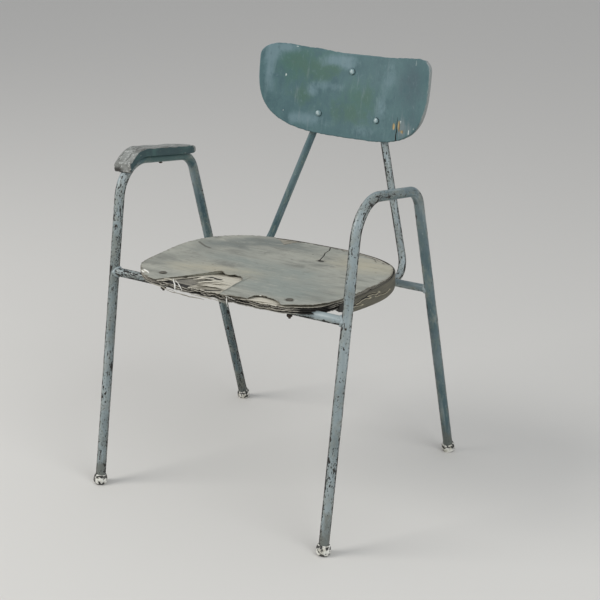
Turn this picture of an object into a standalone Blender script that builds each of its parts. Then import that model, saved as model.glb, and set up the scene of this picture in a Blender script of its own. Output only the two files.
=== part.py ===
# Old armchair of bent steel tube, with a plywood seat that has split into its leaves,
# a curved plywood backrest and one wooden armrest, on the chair's own right arm.
# Metres, +Z up. The chair faces -Y and its own right side is -X.

import math

import bmesh
import bpy
import numpy as np
from mathutils import Matrix, Vector

# Clearance between pieces that touch
GAP = 0.0003

# Side frames: each one tube bent into front leg, arm and rear leg
LEG_TUBE = 0.020
FRAME_HALF_WIDTH = 0.268
FOOT_HALF_SPREAD = 0.262
FRONT_CORNER_Y = -0.148
FRONT_CORNER_Z = 0.657
REAR_CORNER_Y = 0.075
REAR_CORNER_Z = 0.622
FRONT_BEND_RADIUS = 0.075
REAR_BEND_RADIUS = 0.050
LOST_SCREW_HOLE_Y = 0.012

# Crossbars between the legs
FRONT_BAR_TUBE = 0.018
FRONT_BAR_Z = 0.438
REAR_BAR_TUBE = 0.016
REAR_BAR_Z = 0.404
WELD_FLARE = 0.0014
WELD_LENGTH = 0.008

# Back hoop: uprights that lean back and draw together, bent over at the top
HOOP_TUBE = 0.016
HOOP_LOW_HALF_WIDTH = 0.172
HOOP_LOW_Y = 0.217
HOOP_FOOT_DROP = 0.006
HOOP_LOW_Z = REAR_BAR_Z - HOOP_FOOT_DROP
HOOP_LEAN = 0.216
HOOP_DRAW_IN = 0.333
HOOP_TOP_RADIUS = 0.058
HOOP_FOOT_RADIUS = 0.048

# Foot caps
CAP_DIAMETER = 0.0284
CAP_WALL = 0.0035
CAP_DEPTH = 0.014
CAP_FLOOR = 0.0062
CAP_WORN = 0.0018

# Seat panel and its rim
SEAT_HALF_WIDTH = 0.2325
SEAT_MIDDLE_Y = -0.030
SEAT_FRONT_REACH = 0.204
SEAT_REAR_REACH = 0.204
SEAT_FRONT_POWER = 4.2
SEAT_REAR_POWER = 2.9
SEAT_DISH = 0.004
PLY = 0.009
TOP_LEAF = 0.0022
BOTTOM_LEAF = 0.0030
KNOT_X = 0.057
KNOT_Y = 0.071
KNOT_LENGTH = 0.017
KNOT_WIDTH = 0.009
KNOT_DEPTH = 0.0017
KNOT_CRACK_X = 0.024
KNOT_CRACK_WIDTH = 0.0016

# Where the seat's leaves are broken: angles in degrees round the middle of the seat
FRONT_MIDDLE = -88.0
FRONT_SPREAD = 66.0
LEFT_MIDDLE = -12.0
LEFT_SPREAD = 46.0
TORN_FROM = -122.0
TORN_TO = -84.0
TORN_DEPTH = 0.090
CHIP_FROM = -66.0
CHIP_TO = -50.0
CHIP_DEPTH = 0.024
BREAK_SHOULDER = 5.0
LEFT_TIP = 186.0
LEFT_TIP_SPREAD = 26.0
LEFT_TIP_WEAR = 0.004

# How far the leaves are frayed back, parted, lifted and let down at the broken edge
LEAF_STEP = 0.0015
TOP_FRAY = 0.010
MIDDLE_FRAY = 0.011
BOTTOM_FRAY = 0.005
LEAF_PART = 0.0002
SPLIT_REACH = 0.0020
TOP_SPLIT_FRONT = 0.022
TOP_SPLIT_LEFT = 0.012
LOW_SPLIT_FRONT = 0.020
LOW_SPLIT_LEFT = 0.007
TOP_LIFT_FRONT = 0.0050
TOP_LIFT_LEFT = 0.0022
MIDDLE_LIFT_FRONT = 0.0014
MIDDLE_LIFT_LEFT = 0.0008
DROOP = 0.0045
DROOP_RUN = 0.030

# Bent wooden rim under the panel
RIM_PROUD = 0.0032
RIM_THICKNESS = 0.018
RIM_LIP = 0.0056
RIM_FIT = 0.0008
RIM_CORNER = 0.003
RIM_REAR_HEIGHT = 0.02357
RIM_FRONT_HEIGHT = 0.01564
RIM_RISE_BEHIND = 0.060
RIM_START_ANGLE = -27.0

# Backrest
BACK_THICKNESS = 0.0075
BACK_CURVE_RADIUS = 0.460
BACK_HALF_WIDTH = 0.2012
BACK_TOP_REACH = 0.0428
BACK_BOTTOM_REACH = 0.1432
BACK_SKEW = 0.008
BACK_MIDDLE = 0.005
BACK_TOP_POWER = 4.7
BACK_BOTTOM_POWER = 3.2
BACK_TOP_DIP = 0.0125
BACK_DIP_HALF_WIDTH = 0.170
BACK_EDGE = 0.0015
BACK_BOLT_DROP = 0.0935
BACK_SPLIT_X = 0.124
BACK_SPLIT_TOP = -0.090
BACK_SPLIT_LEAN = 0.003
BACK_SPLIT_WIDTH = 0.0030

# Armrest
ARMREST_WIDTH = 0.041
ARMREST_THICKNESS = 0.0172
ARMREST_LOW = 0.0066
ARMREST_FRONT_Y = -0.148
ARMREST_BEND_Y = -0.0915
ARMREST_BEND_RADIUS = 0.051
ARMREST_TAPER_Y = 0.005
ARMREST_REAR_Y = 0.072
ARMREST_REAR_SHARE = 0.42
ARMREST_REAR_ROUND = 0.020
ARMREST_EDGE = 0.0035
ARMREST_OUTER_EDGE = 0.0060
ARMREST_SCREW_Y = -0.025

# Fasteners
BOLT_SHANK = 0.005
BOLT_HEAD = 0.0130
BOLT_DOME = 0.0034
BOLT_SPARE = 0.004
BOLT_SEAT = 0.0004
NUT_ACROSS = 0.0095
NUT_HEIGHT = 0.0040
SEAT_BOLT_HEAD = 0.0150
SEAT_BOLT_DOME = 0.0016
SEAT_BOLT_X = 0.146
SCREW_SHANK = 0.0040
SCREW_HEAD = 0.0084
SCREW_DOME = 0.0026
SCREW_BITE = 0.011
HOLE_CLEARANCE = 0.0003


def hex_colour(code):
    """Linear RGBA from an sRGB hex code."""
    channels = [int(code[k:k + 2], 16) / 255 for k in (0, 2, 4)]
    linear = [c / 12.92 if c <= 0.04045 else ((c + 0.055) / 1.055) ** 2.4 for c in channels]
    return (*linear, 1.0)


def finish(name, code, roughness, metallic=0.0):
    material = bpy.data.materials.new(name)
    material.use_nodes = True
    shader = material.node_tree.nodes["Principled BSDF"]
    shader.inputs["Base Color"].default_value = hex_colour(code)
    shader.inputs["Roughness"].default_value = roughness
    shader.inputs["Metallic"].default_value = metallic
    return material


def new_collection(name):
    collection = bpy.data.collections.new(name)
    bpy.context.scene.collection.children.link(collection)
    return collection


def add_object(name, mesh, collection, material=None):
    piece = bpy.data.objects.new(name, mesh)
    collection.objects.link(piece)
    piece.parent = origin
    if material:
        mesh.materials.append(material)
    return piece


def add_part(name, mesh, material):
    return add_object(name, mesh, chair, material)


def shade_round(mesh, angle=40):
    mesh.shade_smooth()
    mesh.set_sharp_from_angle(angle=math.radians(angle))


def turned_mesh(name, profile, sides):
    """Solid turned about Z from (radius, height) points, top to bottom down the outer side."""
    mesh = bpy.data.meshes.new(name)
    points = [(radius, 0, height) for radius, height in profile]
    edges = [(k, k + 1) for k in range(len(points) - 1)]
    mesh.from_pydata(points, edges, [])
    blank = bpy.data.objects.new(name, mesh)
    chair.objects.link(blank)
    screw = blank.modifiers.new("turn", 'SCREW')
    screw.steps = sides
    screw.render_steps = sides
    screw.use_merge_vertices = True
    screw.merge_threshold = 0.00001
    return applied(blank)


def applied(piece):
    """The piece's evaluated mesh; the piece itself is removed."""
    bpy.context.view_layer.update()
    depsgraph = bpy.context.evaluated_depsgraph_get()
    mesh = bpy.data.meshes.new_from_object(piece.evaluated_get(depsgraph))
    bpy.data.objects.remove(piece)
    shade_round(mesh)
    return mesh


def tube_mesh(name, points, diameter, bevel_resolution):
    """Round bar along points, with its end caps welded on."""
    curve = bpy.data.curves.new(name, 'CURVE')
    curve.dimensions = '3D'
    curve.bevel_depth = diameter / 2
    curve.bevel_resolution = bevel_resolution
    curve.use_fill_caps = True
    spline = curve.splines.new('POLY')
    spline.points.add(len(points) - 1)
    for slot, point in zip(spline.points, points):
        slot.co = (*point, 1)
    blank = bpy.data.objects.new(name, curve)
    chair.objects.link(blank)
    mesh = applied(blank)
    work = bmesh.new()
    work.from_mesh(mesh)
    bmesh.ops.remove_doubles(work, verts=work.verts, dist=0.00001)
    bmesh.ops.recalc_face_normals(work, faces=work.faces)
    work.to_mesh(mesh)
    work.free()
    shade_round(mesh)
    return mesh


def skin_mesh(name, rings, around=True, ends=False):
    """Skin over an array of points, rings x points x 3. Around joins last ring to first."""
    count, width = rings.shape[:2]
    index = np.arange(count * width).reshape(count, width)
    after = np.roll(index, -1, axis=0) if around else index[1:]
    before = index if around else index[:-1]
    if ends:
        quads = np.stack([before, np.roll(before, -1, 1), np.roll(after, -1, 1), after], -1)
    else:
        quads = np.stack([before[:, :-1], before[:, 1:], after[:, 1:], after[:, :-1]], -1)
    faces = quads.reshape(-1, 4).tolist()
    if ends:
        faces += [index[0].tolist(), index[-1].tolist()]
    mesh = bpy.data.meshes.new(name)
    mesh.from_pydata(rings.reshape(-1, 3).tolist(), [], faces)
    work = bmesh.new()
    work.from_mesh(mesh)
    bmesh.ops.remove_doubles(work, verts=work.verts, dist=0.000001)
    bmesh.ops.recalc_face_normals(work, faces=work.faces)
    work.to_mesh(mesh)
    work.free()
    shade_round(mesh)
    return mesh


def bent_path(corners, radii, steps):
    """Points of a tube bent round its inner corners: straight runs joined by arcs."""
    points = [corners[0]]
    for before, corner, after, radius in zip(corners, corners[1:], corners[2:], radii):
        back = (before - corner).normalized()
        onward = (after - corner).normalized()
        half = back.angle(onward) / 2
        centre = corner + (back + onward).normalized() * radius / math.sin(half)
        start = corner + back * radius / math.tan(half)
        end = corner + onward * radius / math.tan(half)
        axis = (start - centre).cross(end - centre)
        sweep = math.pi - 2 * half
        for step in range(steps + 1):
            turn = Matrix.Rotation(sweep * step / steps, 3, axis)
            points.append(centre + turn @ (start - centre))
    points.append(corners[-1])
    return points


def frame_along(direction):
    """Rotation that turns +Z onto a direction."""
    return Vector(direction).to_track_quat('Z', 'Y').to_euler()


def cylinder_cutter(name, radius, start, end, sides=24):
    """Hidden round cutter between two points."""
    start = Vector(start)
    end = Vector(end)
    mesh = bpy.data.meshes.new(name)
    work = bmesh.new()
    bmesh.ops.create_cone(work, cap_ends=True, segments=sides, radius1=radius,
                          radius2=radius, depth=(end - start).length)
    work.to_mesh(mesh)
    work.free()
    cutter = add_object(name, mesh, cutters)
    cutter.location = (start + end) / 2
    cutter.rotation_euler = frame_along(end - start)
    hide_cutter(cutter)
    return cutter


def hide_cutter(cutter):
    cutter.hide_render = True
    cutter.display_type = 'WIRE'


def cut(piece, cutter):
    modifier = piece.modifiers.new(cutter.name, 'BOOLEAN')
    modifier.operation = 'DIFFERENCE'
    modifier.object = cutter


def leg_point(height, front):
    """Centre of the leg at a height, on the side frame's own plane."""
    if front:
        share = height / FRONT_CORNER_Z
        return -FOOT_HALF_SPREAD + (FRONT_CORNER_Y + FOOT_HALF_SPREAD) * share
    share = height / REAR_CORNER_Z
    return FOOT_HALF_SPREAD + (REAR_CORNER_Y - FOOT_HALF_SPREAD) * share


def leg_direction(front):
    return Vector((0, leg_point(1, front) - leg_point(0, front), 1)).normalized()


def side_corners(side):
    """Foot, front corner, rear corner and foot of one side frame's centre line."""
    x = side * FRAME_HALF_WIDTH
    return [Vector((x, leg_point(CAP_FLOOR, True), CAP_FLOOR)),
            Vector((x, FRONT_CORNER_Y, FRONT_CORNER_Z)),
            Vector((x, REAR_CORNER_Y, REAR_CORNER_Z)),
            Vector((x, leg_point(CAP_FLOOR, False), CAP_FLOOR))]


def arm_height(y):
    """Height of the arm tube's centre line."""
    share = (y - FRONT_CORNER_Y) / (REAR_CORNER_Y - FRONT_CORNER_Y)
    return FRONT_CORNER_Z + (REAR_CORNER_Z - FRONT_CORNER_Z) * share


def arm_frame():
    """Direction rearward along the arm, and the direction up from it."""
    along = Vector((0, REAR_CORNER_Y - FRONT_CORNER_Y, REAR_CORNER_Z - FRONT_CORNER_Z))
    along.normalize()
    return along, Vector((0, -along.z, along.y))


def build_side_frame(name, side, material):
    points = bent_path(side_corners(side), (FRONT_BEND_RADIUS, REAR_BEND_RADIUS), 9)
    frame = add_part(name, tube_mesh(name, points, LEG_TUBE, 6), material)
    y = ARMREST_SCREW_Y if side < 0 else LOST_SCREW_HOLE_Y
    middle = Vector((side * FRAME_HALF_WIDTH, y, arm_height(y)))
    up = arm_frame()[1] * LEG_TUBE
    radius = SCREW_SHANK / 2 + HOLE_CLEARANCE
    cut(frame, cylinder_cutter(name + "_screw_hole", radius, middle - up, middle + up, 16))
    return frame


def build_crossbar(name, diameter, height, front, material):
    """Crossbar with a weld swell at each end, coped to the round legs."""
    y = leg_point(height, front)
    reach = FRAME_HALF_WIDTH - 0.15 * LEG_TUBE
    radius = diameter / 2
    swell = min(radius + WELD_FLARE, 0.475 * LEG_TUBE)
    profile = [(0, reach), (swell, reach), (swell, reach - LEG_TUBE / 2),
               (radius, reach - LEG_TUBE / 2 - WELD_LENGTH)]
    profile += [(r, -z) for r, z in reversed(profile)]
    bar = add_part(name, turned_mesh(name, profile, 20), material)
    bar.location = (0, y, height)
    bar.rotation_euler = (0, math.radians(90), 0)
    along = leg_direction(front) * 2 * LEG_TUBE
    for side, word in ((-1, "right"), (1, "left")):
        middle = Vector((side * FRAME_HALF_WIDTH, y, height))
        cope = cylinder_cutter(f"{name}_cope_{word}", LEG_TUBE / 2 + GAP,
                               middle - along, middle + along, 40)
        cut(bar, cope)
    return bar


def bore_crossbar(bar, height, front, positions, radius):
    """Upright bolt holes through a crossbar."""
    y = leg_point(height, front)
    for number, x in enumerate(positions, 1):
        hole = cylinder_cutter(f"{bar.name}_hole_{number}", radius,
                               (x, y, height - LEG_TUBE), (x, y, height + LEG_TUBE), 16)
        cut(bar, hole)


def hoop_plane_y(height):
    return HOOP_LOW_Y + HOOP_LEAN * (height - HOOP_LOW_Z)


def hoop_half_width(height):
    return HOOP_LOW_HALF_WIDTH - HOOP_DRAW_IN * (height - HOOP_LOW_Z)


def hoop_apex_height():
    return HOOP_LOW_Z + HOOP_LOW_HALF_WIDTH / HOOP_DRAW_IN


def hoop_corners():
    """Centre line corners: forward foot, foot bend, apex, foot bend, forward foot."""
    start_y = leg_point(REAR_BAR_Z, False) + REAR_BAR_TUBE / 4
    apex = hoop_apex_height()
    right = [Vector((-HOOP_LOW_HALF_WIDTH, start_y, HOOP_LOW_Z)),
             Vector((-HOOP_LOW_HALF_WIDTH, HOOP_LOW_Y, HOOP_LOW_Z))]
    left = [Vector((HOOP_LOW_HALF_WIDTH, HOOP_LOW_Y, HOOP_LOW_Z)),
            Vector((HOOP_LOW_HALF_WIDTH, start_y, HOOP_LOW_Z))]
    return right + [Vector((0, hoop_plane_y(apex), apex))] + left


def hoop_up():
    """Direction up along the hoop's leaning plane."""
    return Vector((0, HOOP_LEAN, 1)).normalized()


def hoop_top():
    """Highest point of the hoop's centre line, where the upper bolt passes."""
    apex_height = hoop_apex_height()
    apex = Vector((0, hoop_plane_y(apex_height), apex_height))
    rise = (apex_height - HOOP_LOW_Z) / hoop_up().z
    half = math.atan(HOOP_LOW_HALF_WIDTH / rise)
    return apex - hoop_up() * HOOP_TOP_RADIUS * (1 / math.sin(half) - 1)


def build_back_hoop(material):
    radii = (HOOP_FOOT_RADIUS, HOOP_TOP_RADIUS, HOOP_FOOT_RADIUS)
    points = bent_path(hoop_corners(), radii, 9)
    hoop = add_part("back_hoop", tube_mesh("back_hoop", points, HOOP_TUBE, 4), material)
    y = leg_point(REAR_BAR_Z, False)
    reach = FRAME_HALF_WIDTH - LEG_TUBE
    cut(hoop, cylinder_cutter("back_hoop_cope", REAR_BAR_TUBE / 2 + GAP,
                              (-reach, y, REAR_BAR_Z), (reach, y, REAR_BAR_Z), 40))
    return hoop


def build_foot_cap(name, side, front, material):
    """Cup turned about the leg's own axis, worn flat where it stands."""
    outer = CAP_DIAMETER / 2
    bore = LEG_TUBE / 2 + GAP
    profile = [(0, -GAP), (bore, -GAP), (bore, CAP_DEPTH), (outer - 0.45 * CAP_WALL, CAP_DEPTH),
               (outer, CAP_DEPTH - 0.5 * CAP_WALL), (outer, 0),
               (0.94 * outer, -0.45 * CAP_FLOOR), (0.76 * outer, -CAP_FLOOR),
               (0.45 * outer, -CAP_FLOOR - 0.7 * CAP_WORN), (0, -CAP_FLOOR - CAP_WORN)]
    cap = add_part(name, turned_mesh(name, profile, 20), material)
    cap.location = (side * FRAME_HALF_WIDTH, leg_point(CAP_FLOOR, front), CAP_FLOOR)
    cap.rotation_euler = frame_along(leg_direction(front))
    floor = cylinder_cutter(name + "_floor", CAP_DIAMETER, (cap.location.x, cap.location.y, -LEG_TUBE),
                            (cap.location.x, cap.location.y, 0), 8)
    cut(cap, floor)
    return cap


def seat_reach(turn):
    """Distance from the seat's middle to its outline, a rounded rectangle in two halves."""
    across = np.abs(np.cos(turn)) / SEAT_HALF_WIDTH
    front = np.sin(turn) < 0
    depth = np.abs(np.sin(turn)) / np.where(front, SEAT_FRONT_REACH, SEAT_REAR_REACH)
    power = np.where(front, SEAT_FRONT_POWER, SEAT_REAR_POWER)
    return (across ** power + depth ** power) ** (-1 / power)


def seat_slope():
    """Fall of the panel to the rear: it lies on the front bar and, by the rim, on the rear bar."""
    front_top = FRONT_BAR_Z + FRONT_BAR_TUBE / 2
    rear_top = REAR_BAR_Z + REAR_BAR_TUBE / 2 + RIM_REAR_HEIGHT
    return (front_top - rear_top) / (leg_point(REAR_BAR_Z, False) - leg_point(FRONT_BAR_Z, True))


def seat_under_height(x, y):
    """Underside of the panel: it rests on the front bar and slopes down to the rear."""
    turn = np.arctan2(y - SEAT_MIDDLE_Y, x)
    share = np.hypot(x, y - SEAT_MIDDLE_Y) / seat_reach(turn)
    front_y = leg_point(FRONT_BAR_Z, True)
    rest = FRONT_BAR_Z + FRONT_BAR_TUBE / 2 + GAP
    behind = np.clip((y - front_y) / SEAT_FRONT_REACH - 0.1, 0, 1)
    dish = SEAT_DISH * np.clip(1 - share ** 2, 0, 1) ** 2 * np.sin(behind * math.pi / 2)
    return rest - seat_slope() * (y - front_y) - dish


def hump(turn, middle, half_width):
    """Smooth swell of one, centred on an angle in degrees."""
    away = (np.degrees(turn) - middle + 180) % 360 - 180
    return np.cos(np.clip(away / half_width, -1, 1) * math.pi / 2) ** 2


def step_in(turn, start, end, soft):
    """One between two angles in degrees, with soft shoulders."""
    angle = (np.degrees(turn) + 180) % 360 - 180
    rise = np.clip((angle - start) / soft, 0, 1)
    fall = np.clip((end - angle) / soft, 0, 1)
    return rise * fall


def ragged(turn, pitch, shift):
    """Uneven splinter line between zero and one, from three plain waves."""
    waves = (np.sin(turn * pitch + shift) + 0.7 * np.sin(turn * pitch * 2.3 + 2 * shift)
             + 0.5 * np.sin(turn * pitch * 4.1 + 3 * shift))
    return 0.5 + waves / 4.4


def seat_angles():
    """Section angles, close together round the broken front and wider elsewhere."""
    front = np.linspace(-150, -20, 66, endpoint=False)
    rest = np.linspace(-20, 210, 46, endpoint=False)
    return np.radians(np.concatenate([front, rest]))


def leaf_edges(turn):
    """Reach of each leaf's edge: top, middle and bottom."""
    reach = seat_reach(turn) - LEFT_TIP_WEAR * hump(turn, LEFT_TIP, LEFT_TIP_SPREAD)
    front = hump(turn, FRONT_MIDDLE, FRONT_SPREAD)
    torn = step_in(turn, TORN_FROM, TORN_TO, BREAK_SHOULDER)
    chipped = step_in(turn, CHIP_FROM, CHIP_TO, BREAK_SHOULDER)
    top = reach - LEAF_STEP - TORN_DEPTH * torn - CHIP_DEPTH * chipped
    top = top - TOP_FRAY * front * ragged(turn, 19, 0.4)
    middle = reach - LEAF_STEP / 2 - MIDDLE_FRAY * front * ragged(turn, 23, 1.9)
    bottom = reach - BOTTOM_FRAY * front * ragged(turn, 17, 3.1)
    return top, middle, bottom


def leaf_shifts(turn, bottom):
    """How far the top and middle leaves lift at their edges, and the bottom one hangs."""
    front = hump(turn, FRONT_MIDDLE, FRONT_SPREAD)
    left = hump(turn, LEFT_MIDDLE, LEFT_SPREAD)
    top_lift = LEAF_PART + TOP_LIFT_LEFT * left
    top_lift = top_lift + TOP_LIFT_FRONT * front * (0.5 + 0.5 * ragged(turn, 9, 2.2))
    middle_lift = LEAF_PART + MIDDLE_LIFT_LEFT * left
    middle_lift = middle_lift + MIDDLE_LIFT_FRONT * front * ragged(turn, 13, 0.9)
    bar_front = leg_point(FRONT_BAR_Z, True) - FRONT_BAR_TUBE / 2
    past_bar = np.clip((bar_front - SEAT_MIDDLE_Y - bottom * np.sin(turn)) / DROOP_RUN, 0, 1)
    droop = DROOP * past_bar * front * (0.4 + 0.6 * ragged(turn, 7, 1.2))
    return top_lift, middle_lift, droop


def build_seat_panel(material):
    """Plywood panel as one skin of sections, each with three leaves parted at the edge."""
    turn = seat_angles()
    front = hump(turn, FRONT_MIDDLE, FRONT_SPREAD)
    left = hump(turn, LEFT_MIDDLE, LEFT_SPREAD)
    top_edge, middle_edge, bottom_edge = leaf_edges(turn)
    top_lift, middle_lift, droop = leaf_shifts(turn, bottom_edge)
    root = top_edge - SPLIT_REACH - TOP_SPLIT_FRONT * front - TOP_SPLIT_LEFT * left
    low_root = middle_edge - SPLIT_REACH - LOW_SPLIT_FRONT * front - LOW_SPLIT_LEFT * left
    under_top = PLY - TOP_LEAF
    zero = np.zeros_like(turn)
    section = [
        (zero, PLY + zero),
        (0.30 * root, PLY + zero),
        (0.66 * root, PLY + zero),
        (root, PLY + zero),
        ((root + top_edge) / 2, PLY + 0.35 * top_lift),
        (top_edge, PLY + top_lift),
        (top_edge, under_top + LEAF_PART + top_lift),
        (root, under_top + zero),
        ((root + middle_edge) / 2, under_top - LEAF_PART + 0.4 * middle_lift),
        (middle_edge, under_top - LEAF_PART + middle_lift),
        (middle_edge, BOTTOM_LEAF + LEAF_PART + middle_lift),
        (low_root, BOTTOM_LEAF + zero),
        ((low_root + bottom_edge) / 2, BOTTOM_LEAF - LEAF_PART - 0.4 * droop),
        (bottom_edge, BOTTOM_LEAF - LEAF_PART - droop),
        (bottom_edge, -droop),
        ((low_root + bottom_edge) / 2, -0.4 * droop),
        (low_root, zero),
        (0.70 * low_root, zero),
        (0.34 * low_root, zero),
        (zero, zero)]
    radius = np.stack([r for r, _ in section], 1)
    height = np.stack([z for _, z in section], 1)
    x = radius * np.cos(turn)[:, None]
    y = SEAT_MIDDLE_Y + radius * np.sin(turn)[:, None]
    rings = np.stack([x, y, seat_under_height(x, y) + height], -1)
    panel = add_part("seat_panel", skin_mesh("seat_panel", rings), material)
    bore = BOLT_SHANK / 2 + HOLE_CLEARANCE
    front_y = leg_point(FRONT_BAR_Z, True)
    for side, word in ((-1, "right"), (1, "left")):
        low = (side * SEAT_BOLT_X, front_y, FRONT_BAR_Z)
        high = (side * SEAT_BOLT_X, front_y, FRONT_BAR_Z + 2 * LEG_TUBE)
        cut(panel, cylinder_cutter(f"seat_panel_hole_{word}", bore, low, high, 16))
    cut_knot(panel)
    return panel


def cut_knot(panel):
    """Shallow hole of a lost knot, and the open crack from it to the rear edge."""
    top = float(seat_under_height(KNOT_X, KNOT_Y)) + PLY
    knot = cylinder_cutter("seat_panel_knot", KNOT_LENGTH / 2, (KNOT_X, KNOT_Y, top - KNOT_DEPTH),
                           (KNOT_X, KNOT_Y, top + PLY), 12)
    knot.scale.y = KNOT_WIDTH / KNOT_LENGTH
    cut(panel, knot)
    rear_y = SEAT_MIDDLE_Y + SEAT_REAR_REACH
    start = np.array([KNOT_X, KNOT_Y])
    run = np.array([KNOT_CRACK_X, rear_y]) - start
    mesh = bpy.data.meshes.new("seat_panel_crack")
    work = bmesh.new()
    bmesh.ops.create_cube(work, size=1)
    work.to_mesh(mesh)
    work.free()
    crack = add_object("seat_panel_crack", mesh, cutters)
    middle = start + run * 0.52
    floor = float(seat_under_height(*middle)) + PLY - KNOT_DEPTH
    crack.location = (middle[0], middle[1], floor + PLY / 2)
    crack.scale = (KNOT_CRACK_WIDTH, float(np.hypot(*run)), PLY)
    slope = -math.atan(seat_slope())
    crack.rotation_euler = (slope, 0, math.atan2(run[1], run[0]) - math.pi / 2)
    hide_cutter(crack)
    cut(panel, crack)


def rim_middle(side, y):
    """Middle of the rim's thickness where it crosses a line across the chair."""
    low, high = 0.0, SEAT_HALF_WIDTH
    for _ in range(40):
        x = (low + high) / 2
        turn = math.atan2(y - SEAT_MIDDLE_Y, x)
        inside = math.hypot(x, y - SEAT_MIDDLE_Y) < (float(seat_reach(turn)) + RIM_PROUD
                                                     - RIM_THICKNESS / 2)
        low, high = (x, high) if inside else (low, x)
    return side * (low + high) / 2


def build_seat_rim(material):
    """Bent wooden rim: two sides and the rear, with a lip outside the panel's lower leaves."""
    turn = np.radians(np.linspace(RIM_START_ANGLE, 180 - RIM_START_ANGLE, 48))
    outer = seat_reach(turn) + RIM_PROUD
    inner = outer - RIM_THICKNESS
    lip = seat_reach(turn) + RIM_FIT
    rear_y = leg_point(REAR_BAR_Z, False)
    bar_top = REAR_BAR_Z + REAR_BAR_TUBE / 2 + GAP
    run = RIM_RISE_BEHIND - (outer * np.sin(turn)).min()
    front_x = outer[0] * math.cos(turn[0])
    front_y = SEAT_MIDDLE_Y + outer[0] * math.sin(turn[0])
    front_rise = float(seat_under_height(front_x, front_y)) - RIM_FRONT_HEIGHT - bar_top
    corners = []
    for radius, into, rise in ((lip, 0, RIM_LIP), (outer, 0, RIM_LIP), (outer, 0, None),
                               (outer, RIM_CORNER, None), (inner, -RIM_CORNER, None),
                               (inner, 0, None), (inner, 0, -GAP), (lip, 0, -GAP)):
        x = (radius - into) * np.cos(turn)
        y = SEAT_MIDDLE_Y + (radius - into) * np.sin(turn)
        if rise is None:
            ahead = np.clip((SEAT_MIDDLE_Y + RIM_RISE_BEHIND - y) / run, 0, 1)
            z = bar_top + front_rise * ahead ** 1.5 + RIM_CORNER - abs(into)
        else:
            z = seat_under_height(x, y) + rise
        corners.append(np.stack([x, y, z], -1))
    rings = np.stack(corners, 1)
    rim = add_part("seat_rim", skin_mesh("seat_rim", rings, around=False, ends=True), material)
    for side, word in ((-1, "right"), (1, "left")):
        x = rim_middle(side, rear_y)
        top = REAR_BAR_Z + REAR_BAR_TUBE / 2 + SCREW_BITE + 2 * GAP
        hole = cylinder_cutter(f"seat_rim_hole_{word}", SCREW_SHANK / 2 + HOLE_CLEARANCE,
                               (x, rear_y, REAR_BAR_Z), (x, rear_y, top), 16)
        cut(rim, hole)
    return rim


def hoop_side_point():
    """Hoop's centre line on the chair's left, where the lower bolt passes."""
    height = hoop_top().z - BACK_BOLT_DROP * hoop_up().z
    return Vector((hoop_half_width(height), hoop_plane_y(height), height))


def back_to_tube():
    """From the backrest's front face to the hoop's centre line, along a bolt."""
    return BACK_THICKNESS + GAP + HOOP_TUBE / 2


def back_bolt_lean():
    """Angle of the lower bolts, which stand square to the curved backrest."""
    return math.asin(hoop_side_point().x / (BACK_CURVE_RADIUS + back_to_tube()))


def back_frame():
    """Backrest's own axes, from its three seats on the hoop: +Z up it and +Y through it."""
    ahead = (BACK_CURVE_RADIUS + back_to_tube()) * (1 - math.cos(back_bolt_lean()))
    angle = math.atan(HOOP_LEAN) - math.asin(ahead / BACK_BOLT_DROP)
    up = Vector((0, math.sin(angle), math.cos(angle)))
    out = Vector((0, -math.cos(angle), math.sin(angle)))
    place = Matrix((Vector((1, 0, 0)), -out, up)).transposed().to_4x4()
    place.translation = hoop_top() + out * back_to_tube()
    return place


def backrest_outline(u, v):
    """Square grid drawn out to the backrest's rounded outline, with a dip in its top edge."""
    disc_x = u * np.sqrt(1 - v ** 2 / 2)
    disc_z = v * np.sqrt(1 - u ** 2 / 2)
    share = np.hypot(disc_x, disc_z)
    turn = np.arctan2(disc_z, disc_x)
    upper = disc_z > 0
    power = np.where(upper, BACK_TOP_POWER, BACK_BOTTOM_POWER)
    tall = np.where(upper, BACK_TOP_REACH, BACK_BOTTOM_REACH)
    x = BACK_HALF_WIDTH * np.sign(np.cos(turn)) * np.abs(np.cos(turn)) ** (2 / power)
    z = tall * np.sign(np.sin(turn)) * np.abs(np.sin(turn)) ** (2 / power)
    near = np.clip(x / BACK_DIP_HALF_WIDTH, -1, 1)
    z = z - np.where(upper, BACK_TOP_DIP * np.cos(near * math.pi / 2) ** 2 * z / tall, 0)
    return share * x, BACK_MIDDLE + share * z - BACK_SKEW * share * x


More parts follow.
